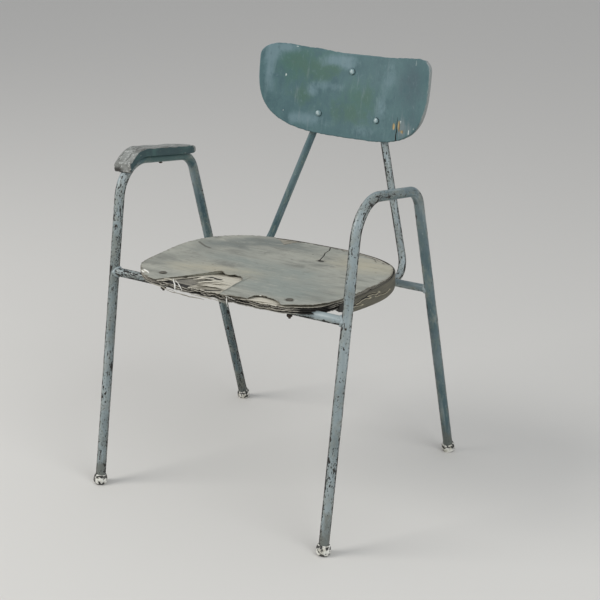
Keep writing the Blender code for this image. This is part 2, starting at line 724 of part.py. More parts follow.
def build_backrest(material):
    """Curved plywood: an open sheet drawn to the outline, given its thickness and edges."""
    across = 26
    upright = 12
    mesh = bpy.data.meshes.new("backrest")
    work = bmesh.new()
    bmesh.ops.create_grid(work, x_segments=across, y_segments=upright, size=1)
    for vert in work.verts:
        x, z = backrest_outline(vert.co.x, vert.co.y)
        sag = BACK_CURVE_RADIUS - math.sqrt(BACK_CURVE_RADIUS ** 2 - float(x) ** 2)
        vert.co = (float(x), -sag, float(z))
    bmesh.ops.recalc_face_normals(work, faces=work.faces)
    if sum(face.normal.y for face in work.faces) > 0:
        bmesh.ops.reverse_faces(work, faces=work.faces)
    work.to_mesh(mesh)
    work.free()
    shade_round(mesh, 50)
    backrest = add_part("backrest", mesh, material)
    place = back_frame()
    backrest.location = place.translation
    backrest.rotation_euler = place.to_euler()
    wall = backrest.modifiers.new("thickness", 'SOLIDIFY')
    wall.thickness = BACK_THICKNESS
    wall.offset = -1
    edge = backrest.modifiers.new("edges", 'BEVEL')
    edge.width = BACK_EDGE
    edge.segments = 2
    edge.limit_method = 'ANGLE'
    edge.angle_limit = math.radians(60)
    for name, (lean, height) in back_bolt_places().items():
        start, direction = back_bolt_line(lean, height)
        hole = cylinder_cutter(f"backrest_hole_{name}", BOLT_SHANK / 2 + HOLE_CLEARANCE,
                               start + direction * BOLT_HEAD, start - direction * BOLT_HEAD * 2, 16)
        cut(backrest, hole)
    cut_back_split(backrest)
    return backrest


def cut_back_split(backrest):
    """Open split up from the backrest's lower edge, closing to a point."""
    bottom = BACK_MIDDLE - BACK_BOTTOM_REACH
    depth = BACK_CURVE_RADIUS - math.sqrt(BACK_CURVE_RADIUS ** 2 - BACK_SPLIT_X ** 2)
    half = BACK_SPLIT_WIDTH / 2
    front = -depth - 3 * BACK_THICKNESS
    rear = -depth + 3 * BACK_THICKNESS
    corners = [(BACK_SPLIT_X + across, y, z) for y in (front, rear)
               for across, z in ((-half, bottom), (half, bottom), (BACK_SPLIT_LEAN, BACK_SPLIT_TOP))]
    mesh = bpy.data.meshes.new("backrest_split")
    mesh.from_pydata(corners, [], [(0, 1, 2), (5, 4, 3), (1, 0, 3, 4), (2, 1, 4, 5), (0, 2, 5, 3)])
    split = add_object("backrest_split", mesh, cutters)
    split.location = backrest.location
    split.rotation_euler = backrest.rotation_euler
    hide_cutter(split)
    cut(backrest, split)


def back_bolt_places():
    """Bolt places on the backrest's own axes: angle round its curve, and height."""
    ahead = (BACK_CURVE_RADIUS + back_to_tube()) * (1 - math.cos(back_bolt_lean()))
    height = -math.sqrt(BACK_BOLT_DROP ** 2 - ahead ** 2)
    return {"top": (0, 0),
            "right": (-back_bolt_lean(), height),
            "left": (back_bolt_lean(), height)}


def back_bolt_line(lean, height):
    """Point on the backrest's front face and the direction out of it."""
    place = back_frame()
    radius = BACK_CURVE_RADIUS
    face = Vector((radius * math.sin(lean), radius * (math.cos(lean) - 1), height))
    out = Vector((-math.sin(lean), -math.cos(lean), 0))
    return place @ face, (place.to_3x3() @ out).normalized()


def bolt_length():
    return BACK_THICKNESS + HOOP_TUBE + NUT_HEIGHT + BOLT_SPARE


def bolt_mesh(name, head, dome, shank, length, sides):
    """Round headed bolt along Z with its head's underside at zero."""
    rise = [(head / 2 * math.cos(a), dome * (0.25 + 0.75 * math.sin(a)))
            for a in (math.radians(k) for k in (90, 60, 20))]
    profile = rise + [(head / 2, 0), (shank / 2, 0), (shank / 2, -length + shank / 8),
                      (shank * 0.38, -length), (0, -length)]
    profile[0] = (0, dome)
    return turned_mesh(name, profile, sides)


def nut_mesh(name, sides=6):
    """Hexagon nut bored for its bolt, standing on Z zero."""
    mesh = bpy.data.meshes.new(name)
    work = bmesh.new()
    radius = NUT_ACROSS / 2 / math.cos(math.pi / sides)
    bmesh.ops.create_cone(work, cap_ends=True, segments=sides, radius1=radius, radius2=radius,
                          depth=NUT_HEIGHT, matrix=Matrix.Translation((0, 0, NUT_HEIGHT / 2)))
    work.to_mesh(mesh)
    work.free()
    return mesh


def add_nut(name, place, direction, material):
    nut = add_part(name, nut_mesh(name), material)
    nut.location = place
    nut.rotation_euler = frame_along(direction)
    bore = BOLT_SHANK / 2 + HOLE_CLEARANCE
    cut(nut, cylinder_cutter(name + "_bore", bore, place - direction * NUT_HEIGHT,
                             place + direction * NUT_HEIGHT * 2, 16))
    return nut


def build_back_bolts(hoop, bolt_finish, nut_finish):
    """Domed bolts through backrest and hoop, each with a nut behind the tube."""
    for name, (lean, height) in back_bolt_places().items():
        start, direction = back_bolt_line(lean, height)
        bolt = add_part(f"back_bolt_{name}", bolt_mesh(f"back_bolt_{name}", BOLT_HEAD, BOLT_DOME,
                                                       BOLT_SHANK, bolt_length(), 14), bolt_finish)
        bolt.location = start + direction * BOLT_SEAT
        bolt.rotation_euler = frame_along(direction)
        depth = back_to_tube() + HOOP_TUBE / 2 + 2 * GAP
        add_nut(f"back_nut_{name}", start - direction * depth, -direction, nut_finish)
        hole = cylinder_cutter(f"back_hoop_hole_{name}", BOLT_SHANK / 2 + HOLE_CLEARANCE, start,
                               start - direction * (depth + LEG_TUBE), 16)
        cut(hoop, hole)


def armrest_low(y):
    """Underside of the armrest: straight along the arm, falling away round its front bend."""
    past_bend = np.clip(ARMREST_BEND_Y - y, 0, None)
    return arm_height(y) + ARMREST_LOW - past_bend ** 2 / (2 * ARMREST_BEND_RADIUS)


def armrest_stations():
    """Places along the armrest, closer together round its front bend and at its rear end."""
    bend = np.linspace(ARMREST_FRONT_Y, ARMREST_BEND_Y, 9)
    middle = np.linspace(ARMREST_BEND_Y, ARMREST_TAPER_Y, 4)[1:]
    tail = np.sin(np.linspace(0, math.pi / 2, 9))[1:]
    return np.concatenate([bend, middle, ARMREST_TAPER_Y + (ARMREST_REAR_Y - ARMREST_TAPER_Y) * tail])


def build_armrest(material):
    """Wooden arm pad: upright sections along the arm, grooved below to sit on the tube."""
    y = armrest_stations()
    tail = np.clip((y - ARMREST_TAPER_Y) / (ARMREST_REAR_Y - ARMREST_TAPER_Y), 0, 1)
    end = np.clip((y - ARMREST_REAR_Y + ARMREST_REAR_ROUND) / ARMREST_REAR_ROUND, 0, 1)
    bulge = np.sqrt(1 - 0.75 * end ** 2)
    low = armrest_low(y) + ARMREST_THICKNESS * (1 - bulge) / 2
    high = armrest_low(y) + ARMREST_THICKNESS * (1 + bulge) / 2
    inner = -FRAME_HALF_WIDTH + ARMREST_WIDTH / 2 - 0.004 * end ** 2
    width = ARMREST_WIDTH * (1 - (1 - ARMREST_REAR_SHARE) * tail ** 1.6) - 0.004 * end ** 2
    outer = inner - width
    edge = ARMREST_EDGE * bulge
    far_edge = ARMREST_OUTER_EDGE * bulge
    section = [(inner, low), (inner, high - edge), (inner - 0.3 * edge, high - 0.3 * edge),
               (inner - edge, high), (outer + 1.4 * far_edge, high),
               (outer + 0.4 * far_edge, high - 0.35 * far_edge), (outer, high - far_edge),
               (outer, low + edge / 2), (outer + edge / 2, low)]
    rings = np.stack([np.stack([x, y, z], -1) for x, z in section], 1)
    armrest = add_part("armrest", skin_mesh("armrest", rings, around=False, ends=True), material)
    points = bent_path(side_corners(-1), (FRONT_BEND_RADIUS, REAR_BEND_RADIUS), 9)
    groove = add_object("armrest_groove", tube_mesh("armrest_groove", points, LEG_TUBE + 2 * GAP, 6),
                        cutters)
    hide_cutter(groove)
    cut(armrest, groove)
    middle, up = armrest_screw_line()
    hole = cylinder_cutter("armrest_hole", SCREW_SHANK / 2 + HOLE_CLEARANCE, middle,
                           middle + up * (LEG_TUBE / 2 + SCREW_BITE + 2 * GAP), 16)
    cut(armrest, hole)
    return armrest


def armrest_screw_line():
    """Arm tube's centre at the armrest's screw, and the direction up through it."""
    place = Vector((-FRAME_HALF_WIDTH, ARMREST_SCREW_Y, arm_height(ARMREST_SCREW_Y)))
    return place, arm_frame()[1]


def screw_length(tube):
    return tube + 2 * GAP + SCREW_BITE


def add_screw(name, tube_centre, up, tube, material):
    """Round headed screw driven up through a tube into the wood above it."""
    mesh = bolt_mesh(name, SCREW_HEAD, SCREW_DOME, SCREW_SHANK, screw_length(tube), 12)
    screw = add_part(name, mesh, material)
    screw.location = tube_centre - up * (tube / 2 + GAP)
    screw.rotation_euler = frame_along(-up)
    return screw


def build_seat_fixings(panel_bolt_finish, nut_finish, screw_finish):
    """Bolts down through panel and front bar, and screws up through the rear bar."""
    front_y = leg_point(FRONT_BAR_Z, True)
    rear_y = leg_point(REAR_BAR_Z, False)
    down = Vector((0, 0, -1))
    for side, word in ((-1, "right"), (1, "left")):
        x = side * SEAT_BOLT_X
        top = float(seat_under_height(x, front_y)) + PLY + abs(seat_slope()) * SEAT_BOLT_HEAD / 2
        under = FRONT_BAR_Z - FRONT_BAR_TUBE / 2 - 2 * GAP
        length = top + BOLT_SEAT - under + NUT_HEIGHT + BOLT_SPARE
        bolt = add_part(f"seat_bolt_{word}", bolt_mesh(f"seat_bolt_{word}", SEAT_BOLT_HEAD,
                                                       SEAT_BOLT_DOME, BOLT_SHANK, length, 14),
                        panel_bolt_finish)
        bolt.location = (x, front_y, top + BOLT_SEAT)
        add_nut(f"seat_nut_{word}", Vector((x, front_y, under)), down, nut_finish)
        centre = Vector((rim_middle(side, rear_y), rear_y, REAR_BAR_Z))
        add_screw(f"rim_screw_{word}", centre, -down, REAR_BAR_TUBE, screw_finish)


def centre_over_origin():
    """Stand the chair with the middle of its bounding box over the world's origin."""
    bpy.context.view_layer.update()
    depsgraph = bpy.context.evaluated_depsgraph_get()
    low = np.full(3, np.inf)
    high = np.full(3, -np.inf)
    for piece in chair.objects:
        evaluated = piece.evaluated_get(depsgraph)
        corners = np.empty(len(evaluated.data.vertices) * 3)
        evaluated.data.vertices.foreach_get("co", corners)
        world = np.array(piece.matrix_world)
        corners = corners.reshape(-1, 3) @ world[:3, :3].T + world[:3, 3]
        low = np.minimum(low, corners.min(0))
        high = np.maximum(high, corners.max(0))
    origin.location = (-(low[0] + high[0]) / 2, -(low[1] + high[1]) / 2, -low[2])


for leftover in list(bpy.data.objects):
    bpy.data.objects.remove(leftover)

chair = new_collection("peeling_paint_chair")
cutters = new_collection("cutters")
origin = bpy.data.objects.new("chair_origin", None)
chair_helpers = new_collection("helpers")
chair_helpers.objects.link(origin)

tube_paint = finish("blue_grey_paint", "8FA3A6", 0.5)
cap_plastic = finish("white_cap", "D8D6CC", 0.6)
seat_ply = finish("weathered_plywood", "9A9A8C", 0.75)
rim_wood = finish("bare_rim_wood", "77705C", 0.7)
back_paint = finish("teal_painted_plywood", "55706E", 0.6)
arm_wood = finish("grey_beech", "8C8A82", 0.8)
old_bolt = finish("painted_bolt", "8FA5A2", 0.45, 0.2)
rusty_steel = finish("rusty_steel", "5A4A3C", 0.8, 0.4)

build_side_frame("side_frame_right", -1, tube_paint)
build_side_frame("side_frame_left", 1, tube_paint)
front_bar = build_crossbar("front_crossbar", FRONT_BAR_TUBE, FRONT_BAR_Z, True, tube_paint)
rear_bar = build_crossbar("rear_crossbar", REAR_BAR_TUBE, REAR_BAR_Z, False, tube_paint)
bore_crossbar(front_bar, FRONT_BAR_Z, True, (-SEAT_BOLT_X, SEAT_BOLT_X),
              BOLT_SHANK / 2 + HOLE_CLEARANCE)
rear_bar_y = leg_point(REAR_BAR_Z, False)
bore_crossbar(rear_bar, REAR_BAR_Z, False, (rim_middle(-1, rear_bar_y), rim_middle(1, rear_bar_y)),
              SCREW_SHANK / 2 + HOLE_CLEARANCE)
back_hoop = build_back_hoop(tube_paint)
for side, hand in ((-1, "right"), (1, "left")):
    build_foot_cap(f"foot_cap_front_{hand}", side, True, cap_plastic)
    build_foot_cap(f"foot_cap_rear_{hand}", side, False, cap_plastic)
build_seat_panel(seat_ply)
build_seat_rim(rim_wood)
build_backrest(back_paint)
build_back_bolts(back_hoop, old_bolt, rusty_steel)
build_armrest(arm_wood)
build_seat_fixings(rusty_steel, rusty_steel, rusty_steel)
arm_screw_centre, arm_up = armrest_screw_line()
add_screw("armrest_screw", arm_screw_centre, arm_up, LEG_TUBE, rusty_steel)
centre_over_origin()
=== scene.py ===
# Old tubular steel armchair with peeling paint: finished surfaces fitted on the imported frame.
import math
import bpy
import numpy
from mathutils import Matrix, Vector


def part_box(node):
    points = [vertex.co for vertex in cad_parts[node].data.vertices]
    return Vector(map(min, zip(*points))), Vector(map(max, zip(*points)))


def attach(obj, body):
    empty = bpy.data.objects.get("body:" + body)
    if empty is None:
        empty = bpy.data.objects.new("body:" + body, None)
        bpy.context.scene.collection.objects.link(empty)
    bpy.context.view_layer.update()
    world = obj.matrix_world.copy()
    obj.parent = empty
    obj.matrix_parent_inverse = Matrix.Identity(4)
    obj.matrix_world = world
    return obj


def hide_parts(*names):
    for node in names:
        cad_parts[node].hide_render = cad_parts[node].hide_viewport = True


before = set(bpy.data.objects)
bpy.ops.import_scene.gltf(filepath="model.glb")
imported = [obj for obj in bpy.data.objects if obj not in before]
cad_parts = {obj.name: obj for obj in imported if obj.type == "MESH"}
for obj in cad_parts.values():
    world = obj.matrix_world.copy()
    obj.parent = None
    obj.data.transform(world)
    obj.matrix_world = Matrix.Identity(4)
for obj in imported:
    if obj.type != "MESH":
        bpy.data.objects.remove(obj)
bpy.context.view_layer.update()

barLow, barHigh = (numpy.array(corner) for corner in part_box("front_crossbar"))
barMiddle = numpy.array([0, -0.186, 0.438])              # the front crossbar's middle, in the chair's own numbers
chairMiddle = (barLow + barHigh) / 2 - barMiddle         # added to the chair's own numbers, gives the frame's
print("frame loaded, chair middle", chairMiddle.round(5))


def unit(vector):
    # the same direction at a length of one: divided by its own length
    return vector / numpy.linalg.norm(vector)


def ripple(points, size, seed, waves=14):
    # unevenness of about -1 to 1: sum of plane waves in random directions, each about one size long
    dice = numpy.random.default_rng(seed)
    ways = dice.normal(size=(points.shape[-1], waves))
    ways = ways / numpy.linalg.norm(ways, axis=0) * 2 * math.pi / (size * dice.uniform(0.6, 1.7, waves))
    return numpy.sin(points @ ways + dice.uniform(0, 2 * math.pi, waves)).sum(-1) / math.sqrt(waves)


def blob(x, y, middleX, middleY, sizeX, sizeY):
    # round hill of one: e to the minus squared distance, in sizes
    return numpy.exp(-((x - middleX) / sizeX) ** 2 - ((y - middleY) / sizeY) ** 2)


def stroke(x, y, line, width):
    # one along a drawn line: e to the minus squared distance to its nearest stretch, in widths
    far = numpy.full(numpy.shape(x), 9.0)
    for (x0, y0), (x1, y1) in zip(line, line[1:]):
        share = ((x - x0) * (x1 - x0) + (y - y0) * (y1 - y0)) / ((x1 - x0) ** 2 + (y1 - y0) ** 2)
        share = numpy.clip(share, 0, 1)
        far = numpy.minimum(far, numpy.hypot(x - x0 - share * (x1 - x0), y - y0 - share * (y1 - y0)))
    return numpy.exp(-(far / width) ** 2)


def smooth(value, low, high):
    # nought below low, one above high, smooth between
    share = numpy.clip((value - low) / (high - low), 0, 1)
    return share * share * (3 - 2 * share)


def gridFaces(rows, columns, roundRows=False, roundColumns=False):
    # four-cornered faces between the points of a grid, joined round where asked
    index = numpy.arange(rows * columns).reshape(rows, columns)
    if roundRows:
        index = numpy.vstack([index, index[:1]])
    if roundColumns:
        index = numpy.hstack([index, index[:, :1]])
    return numpy.stack([index[:-1, :-1], index[:-1, 1:], index[1:, 1:], index[1:, :-1]], -1).reshape(-1, 4)


def endCaps(rows, columns):
    # first and last ring of a grid of rings, as two faces
    ring = numpy.arange(columns)
    return [ring, (ring + (rows - 1) * columns)[::-1]]


def poleCaps(rows, columns):
    # first and last column of a grid joined round its rows, as two small faces at the poles
    ring = numpy.arange(rows) * columns
    return [ring, (ring + columns - 1)[::-1]]


def facesOut(points, faces, caps):
    # signed volume of the closed skin; its faces are turned round where that is below nought
    flat = points.reshape(-1, 3) - points.reshape(-1, 3).mean(0)
    a, b, c, d = (flat[faces[:, k]] for k in range(4))
    volume = (numpy.cross(a, b) * c).sum() + (numpy.cross(a, c) * d).sum()
    for cap in caps:
        ring = flat[cap]
        volume += (numpy.cross(ring[0], ring[1:-1]) * ring[2:]).sum()
    if volume < 0:
        faces, caps = faces[:, ::-1], [cap[::-1] for cap in caps]
    return faces.tolist() + [cap.tolist() for cap in caps]


def newMesh(name, points, faces, caps):
    # a mesh at the frame's place: the chair's own numbers plus its middle, with every face turned out
    mesh = bpy.data.meshes.new(name)
    mesh.from_pydata((points.reshape(-1, 3) + chairMiddle).tolist(), [], facesOut(points, faces, caps))
    return mesh


def addPiece(name, points, faces, caps, material, values=None, node=None):
    # one closed skin in the chair's own numbers, with its painted values, carried by the root body
    mesh = newMesh(name, points, faces, caps)
    for key, value in (values or {}).items():
        flat = numpy.ascontiguousarray(value, dtype=numpy.float32).ravel()
        if flat.size == len(mesh.vertices) * 3:
            mesh.attributes.new(key, 'FLOAT_VECTOR', 'POINT').data.foreach_set("vector", flat)
        else:
            mesh.attributes.new(key, 'FLOAT', 'POINT').data.foreach_set("value", flat)
    mesh.shade_smooth()
    mesh.set_sharp_from_angle(angle=math.radians(42))
    mesh.materials.append(material)
    piece = bpy.data.objects.new(name, mesh)
    bpy.context.scene.collection.objects.link(piece)
    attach(piece, "root")
    if node:
        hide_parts(node)
    return piece


def cutAway(piece, rings, wall):
    # takes the closed skin through the rings out of a piece; the cut walls get the material given
    mesh = newMesh("cutter", rings, gridFaces(*rings.shape[:2], False, True), endCaps(*rings.shape[:2]))
    mesh.materials.append(wall)
    piece.data.materials.append(wall)
    cutter = bpy.data.objects.new("cutter", mesh)
    bpy.context.scene.collection.objects.link(cutter)
    bite = piece.modifiers.new("bite", 'BOOLEAN')
    bite.operation = 'DIFFERENCE'
    bite.material_mode = 'TRANSFER'
    bite.object = cutter
    bpy.context.view_layer.update()
    cutMesh = bpy.data.meshes.new_from_object(piece.evaluated_get(bpy.context.evaluated_depsgraph_get()))
    piece.modifiers.clear()
    piece.data = cutMesh
    cutMesh.name = piece.name
    bpy.data.objects.remove(cutter)


def toLinear(code):
    # sRGB hex to linear light
    channels = numpy.array([int(code[k:k + 2], 16) / 255 for k in (0, 2, 4)])
    linear = numpy.where(channels <= 0.04045, channels / 12.92, ((channels + 0.055) / 1.055) ** 2.4)
    return (*linear.tolist(), 1.0)


def addNode(tree, kind, values=(), out=None, **settings):
    # one node with its settings; values go to its inputs in turn or by name, and outputs among them are linked
    node = tree.nodes.new(kind)
    for key, value in settings.items():
        setattr(node, key, value)
    live = [socket for socket in node.inputs if socket.enabled]
    for key, value in (values.items() if isinstance(values, dict) else enumerate(values)):
        socket = live[key] if isinstance(key, int) else node.inputs[key]
        if isinstance(value, bpy.types.NodeSocket):
            tree.links.new(value, socket)
        else:
            socket.default_value = value
    return node.outputs[out] if out else next(socket for socket in node.outputs if socket.enabled)


def newFinish(name, roughness, ior=1.5):
    # a plain material with its roughness and IOR, as material, node tree and shader
    material = bpy.data.materials.new(name)
    material.use_nodes = True
    shader = material.node_tree.nodes["Principled BSDF"]
    shader.inputs["Roughness"].default_value = roughness
    shader.inputs["IOR"].default_value = ior
    return material, material.node_tree, shader


def ownValues(tree, names, out="Fac"):
    # the values painted on the piece itself, by name
    return {name: addNode(tree, "ShaderNodeAttribute", out=out, attribute_name=name) for name in names.split()}


def patterns(tree, place, sizes):
    # each pattern: how many features a metre, how far drawn out along each axis, detail, roughness
    made = {}
    for name, (perMetre, stretch, detail, rough) in sizes.items():
        drawn = addNode(tree, "ShaderNodeMapping", {"Vector": place, "Scale": stretch})
        made[name] = addNode(tree, "ShaderNodeTexNoise", {"Vector": drawn, "Scale": perMetre, "Detail": detail,
                                                          "Roughness": rough, "Distortion": 0.3})
    return made


def layCoats(tree, colour, coats):
    # each coat covers what is under it where mask * weight + pattern rises from low to high
    cover = 0.0
    for mask, weight, pattern, low, high, most, code in coats:
        level = addNode(tree, "ShaderNodeMath", [mask, weight, pattern], operation='MULTIPLY_ADD')
        cover = addNode(tree, "ShaderNodeMapRange", [level, low, high, 0.0, most])
        over = toLinear(code) if isinstance(code, str) else code
        colour = addNode(tree, "ShaderNodeMix", [cover, colour, over], data_type='RGBA')
    return colour, cover


def finishSkin(tree, shader, colour, height, depth):
    # colour and relief of the finished skin; depth in metres
    tree.links.new(colour, shader.inputs["Base Color"])
    relief = addNode(tree, "ShaderNodeBump", {"Height": height, "Distance": depth})
    tree.links.new(relief, shader.inputs["Normal"])


def chippedEnamel():
    # brushed enamel on mild steel tube: a thin film, chalky and uneven from teal to pale grey, that has
    # flaked with sharp edges down to nearly black scale; flakes 4 to 15 mm long, specks about 2 mm
    look = {"pale": "8D999B", "teal": "435B61", "green": "466862", "chalk": "AEB8B8", "grey": "84877F",
            "grime": "5A5C54", "scale": "232321", "rust": "39332B"}
    material, tree, shader = newFinish("chippedEnamel", 0.40)
    own = ownValues(tree, "wear tone grime")
    place = ownValues(tree, "tubeSpace", "Vector")["tubeSpace"]
    seen = patterns(tree, place, {"flakes": (165, (1, 1, 0.45), 5, 0.62), "specks": (400, (1, 1, 0.6), 3, 0.55),
                                  "cloud": (12, (1, 1, 0.7), 5, 0.62), "mottle": (70, (1, 1, 0.5), 5, 0.65),
                                  "streaks": (80, (1, 1, 0.07), 3, 0.6)})
    film, _ = layCoats(tree, toLinear(look["pale"]), [
        (own["tone"], 0.9, seen["cloud"], 0.55, 1.25, 1.0, look["teal"]),
        (own["tone"], 0.35, seen["mottle"], 0.72, 0.95, 0.55, look["green"]),
        (own["wear"], 0.25, seen["mottle"], 0.55, 0.75, 0.7, look["grey"]),
        (0.0, 0.0, seen["streaks"], 0.55, 0.72, 0.45, look["chalk"]),
        (own["wear"], 0.30, seen["cloud"], 0.62, 0.95, 0.45, look["grime"]),
        (own["wear"], 0.24, seen["flakes"], 0.675, 0.705, 0.5, look["chalk"]),
        (own["grime"], 0.60, seen["mottle"], 0.62, 0.95, 0.75, look["grime"])])
    scale, _ = layCoats(tree, toLinear(look["scale"]), [(0.0, 0.0, seen["specks"], 0.45, 0.65, 1.0, look["rust"])])
    colour, bare = layCoats(tree, film, [(own["wear"], 0.24, seen["flakes"], 0.71, 0.722, 1.0, scale)])
    colour, fine = layCoats(tree, colour, [(own["wear"], 0.24, seen["specks"], 0.725, 0.745, 1.0, look["scale"])])
    bare = addNode(tree, "ShaderNodeMath", [bare, fine], operation='MAXIMUM')
    tree.links.new(addNode(tree, "ShaderNodeMapRange", [bare, 0.0, 1.0, 0.40, 0.85]), shader.inputs["Roughness"])
    height = addNode(tree, "ShaderNodeMath", [bare, -1.0, seen["mottle"]], operation='MULTIPLY_ADD')
    finishSkin(tree, shader, colour, height, 0.00035)
    return material


def tealPlyPaint():
    # the same enamel brushed thickly on moulded plywood: teal gone mossy green in soft patches, rubbed pale
    # where backs have leaned, with upright brush marks, white nicks and yellow wood bare at the split
    look = {"teal": "486669", "light": "527072", "deep": "3C575E", "green": "44675E", "moss": "46655A",
            "pale": "647E84", "slate": "42575E", "faded": "73898E", "nick": "C2CAC5", "bare": "AE9868",
            "grain": "6A5A42", "edge": "858A88", "worn": "707C7E"}
    material, tree, shader = newFinish("tealPlyPaint", 0.48)
    own = ownValues(tree, "green moss pale slate nick bare edge worn")
    place = ownValues(tree, "sheetSpace", "Vector")["sheetSpace"]
    seen = patterns(tree, place, {"brush": (95, (1, 0.10, 1), 5, 0.65), "cloud": (34, (1, 0.7, 1), 8, 0.70),
                                  "mottle": (130, (1, 0.6, 1), 5, 0.62), "wide": (14, (1, 0.8, 1), 7, 0.66)})
    colour, _ = layCoats(tree, toLinear(look["teal"]), [
        (0.0, 0.0, seen["wide"], 0.45, 0.66, 0.7, look["light"]),
        (0.0, 0.0, seen["cloud"], 0.50, 0.34, 0.6, look["deep"]),
        (own["green"], 0.38, seen["cloud"], 0.60, 0.84, 0.95, look["green"]),
        (own["moss"], 0.38, seen["cloud"], 0.60, 0.86, 0.95, look["moss"]),
        (own["slate"], 0.34, seen["cloud"], 0.60, 0.88, 0.80, look["slate"]),
        (own["pale"], 0.36, seen["cloud"], 0.58, 0.84, 0.95, look["pale"]),
        (own["worn"], 0.30, seen["brush"], 0.62, 0.85, 0.85, look["worn"]),
        (own["pale"], 0.20, seen["brush"], 0.60, 0.80, 0.35, look["faded"]),
        (0.0, 0.0, seen["mottle"], 0.58, 0.76, 0.35, look["faded"]),
        (0.0, 0.0, seen["mottle"], 0.42, 0.28, 0.40, look["slate"]),
        (own["edge"], 0.55, seen["mottle"], 0.82, 1.02, 1.0, look["edge"])])
    wood, _ = layCoats(tree, toLinear(look["bare"]), [(0.0, 0.0, seen["brush"], 0.45, 0.60, 1.0, look["grain"])])
    colour, bare = layCoats(tree, colour, [(own["bare"], 0.75, seen["brush"], 0.88, 1.02, 1.0, wood)])
    colour, _ = layCoats(tree, colour, [(own["nick"], 0.75, seen["mottle"], 0.92, 1.06, 1.0, look["nick"])])
    tree.links.new(addNode(tree, "ShaderNodeMapRange", [seen["cloud"], 0.3, 0.7, 0.40, 0.60]),
                   shader.inputs["Roughness"])
    height = addNode(tree, "ShaderNodeMath", [bare, -1.2, seen["brush"]], operation='MULTIPLY_ADD')
    finishSkin(tree, shader, colour, height, 0.0003)
    return material


def weatheredVeneer():
    # birch veneer left outdoors: surface fibres gone silver grey, darker weathered bands along the grain,
    # warmer where it is freshly worn, thin remains of the paint; fibre bundles about 2 mm wide
    look = {"grey": "98998F", "dark": "74756D", "light": "ABAA9E", "warm": "ACA692", "tint": "848C86",
            "paint": "6C736F", "fibre": "6A6A62", "smudge": "66655D", "stain": "433F37", "edge": "5E5648",
            "white": "D6D4C8"}
    material, tree, shader = newFinish("weatheredVeneer", 0.72)
    own = ownValues(tree, "paint tint warm stain edge white")
    place = addNode(tree, "ShaderNodeTexCoord", out="Object")
    seen = patterns(tree, place, {"fibres": (30, (0.35, 14, 8), 6, 0.62), "bands": (15, (0.5, 1.7, 1), 6, 0.6),
                                  "cloud": (13, (1, 1.2, 1), 5, 0.6), "fine": (90, (0.3, 3, 3), 5, 0.65),
                                  "smudge": (42, (0.8, 1.5, 1), 7, 0.68)})
    colour, _ = layCoats(tree, toLinear(look["grey"]), [
        (0.0, 0.0, seen["bands"], 0.52, 0.34, 0.85, look["dark"]),
        (0.0, 0.0, seen["cloud"], 0.48, 0.64, 0.8, look["light"]),
        (own["warm"], 0.5, seen["bands"], 0.60, 0.95, 0.85, look["warm"]),
        (own["tint"], 0.5, seen["cloud"], 0.60, 0.95, 0.80, look["tint"]),
        (own["paint"], 0.4, seen["bands"], 0.62, 0.90, 0.75, look["paint"]),
        (0.0, 0.0, seen["smudge"], 0.58, 0.72, 0.55, look["smudge"]),
        (0.0, 0.0, seen["smudge"], 0.44, 0.30, 0.60, look["light"]),
        (0.0, 0.0, seen["fibres"], 0.52, 0.74, 0.45, look["fibre"]),
        (0.0, 0.0, seen["fine"], 0.46, 0.30, 0.35, look["light"]),
        (0.0, 0.0, seen["fine"], 0.60, 0.76, 0.35, look["fibre"]),
        (own["edge"], 0.45, seen["fine"], 0.80, 0.98, 0.9, look["edge"]),
        (own["stain"], 1.0, 0.0, 0.25, 0.70, 0.9, look["stain"]),
        (own["white"], 0.8, seen["fine"], 0.90, 1.05, 1.0, look["white"])])
    finishSkin(tree, shader, colour, seen["fibres"], 0.0005)
    return material


def brokenLeaf(name, look):
    # peeled veneer whose fibres stand open: pale and yellow where it came bare last, near black as painted shade in the
    # gaps and slits
    material, tree, shader = newFinish(name, 0.8)
    own = ownValues(tree, "fresh edge slit")
    place = addNode(tree, "ShaderNodeTexCoord", out="Object")
    seen = patterns(tree, place, {"fibres": (34, look["stretch"], 6, 0.68), "cloud": (26, (0.6, 1.6, 1), 5, 0.6)})
    colour, _ = layCoats(tree, toLinear(look["grey"]), [
        (0.0, 0.0, seen["cloud"], 0.52, 0.36, 0.9, look["dark"]),
        (own["fresh"], 0.5, seen["cloud"], 0.62, 0.90, 1.0, look["fresh"]),
        (0.0, 0.0, seen["fibres"], 0.55, 0.72, 0.7, look["shade"]),
        (own["edge"], 0.45, seen["fibres"], 0.70, 0.86, 0.9, look["tip"]),
        (own["slit"], 1.0, 0.0, 0.25, 0.60, 0.95, look["slit"])])
    finishSkin(tree, shader, colour, seen["fibres"], 0.0008)
    return material


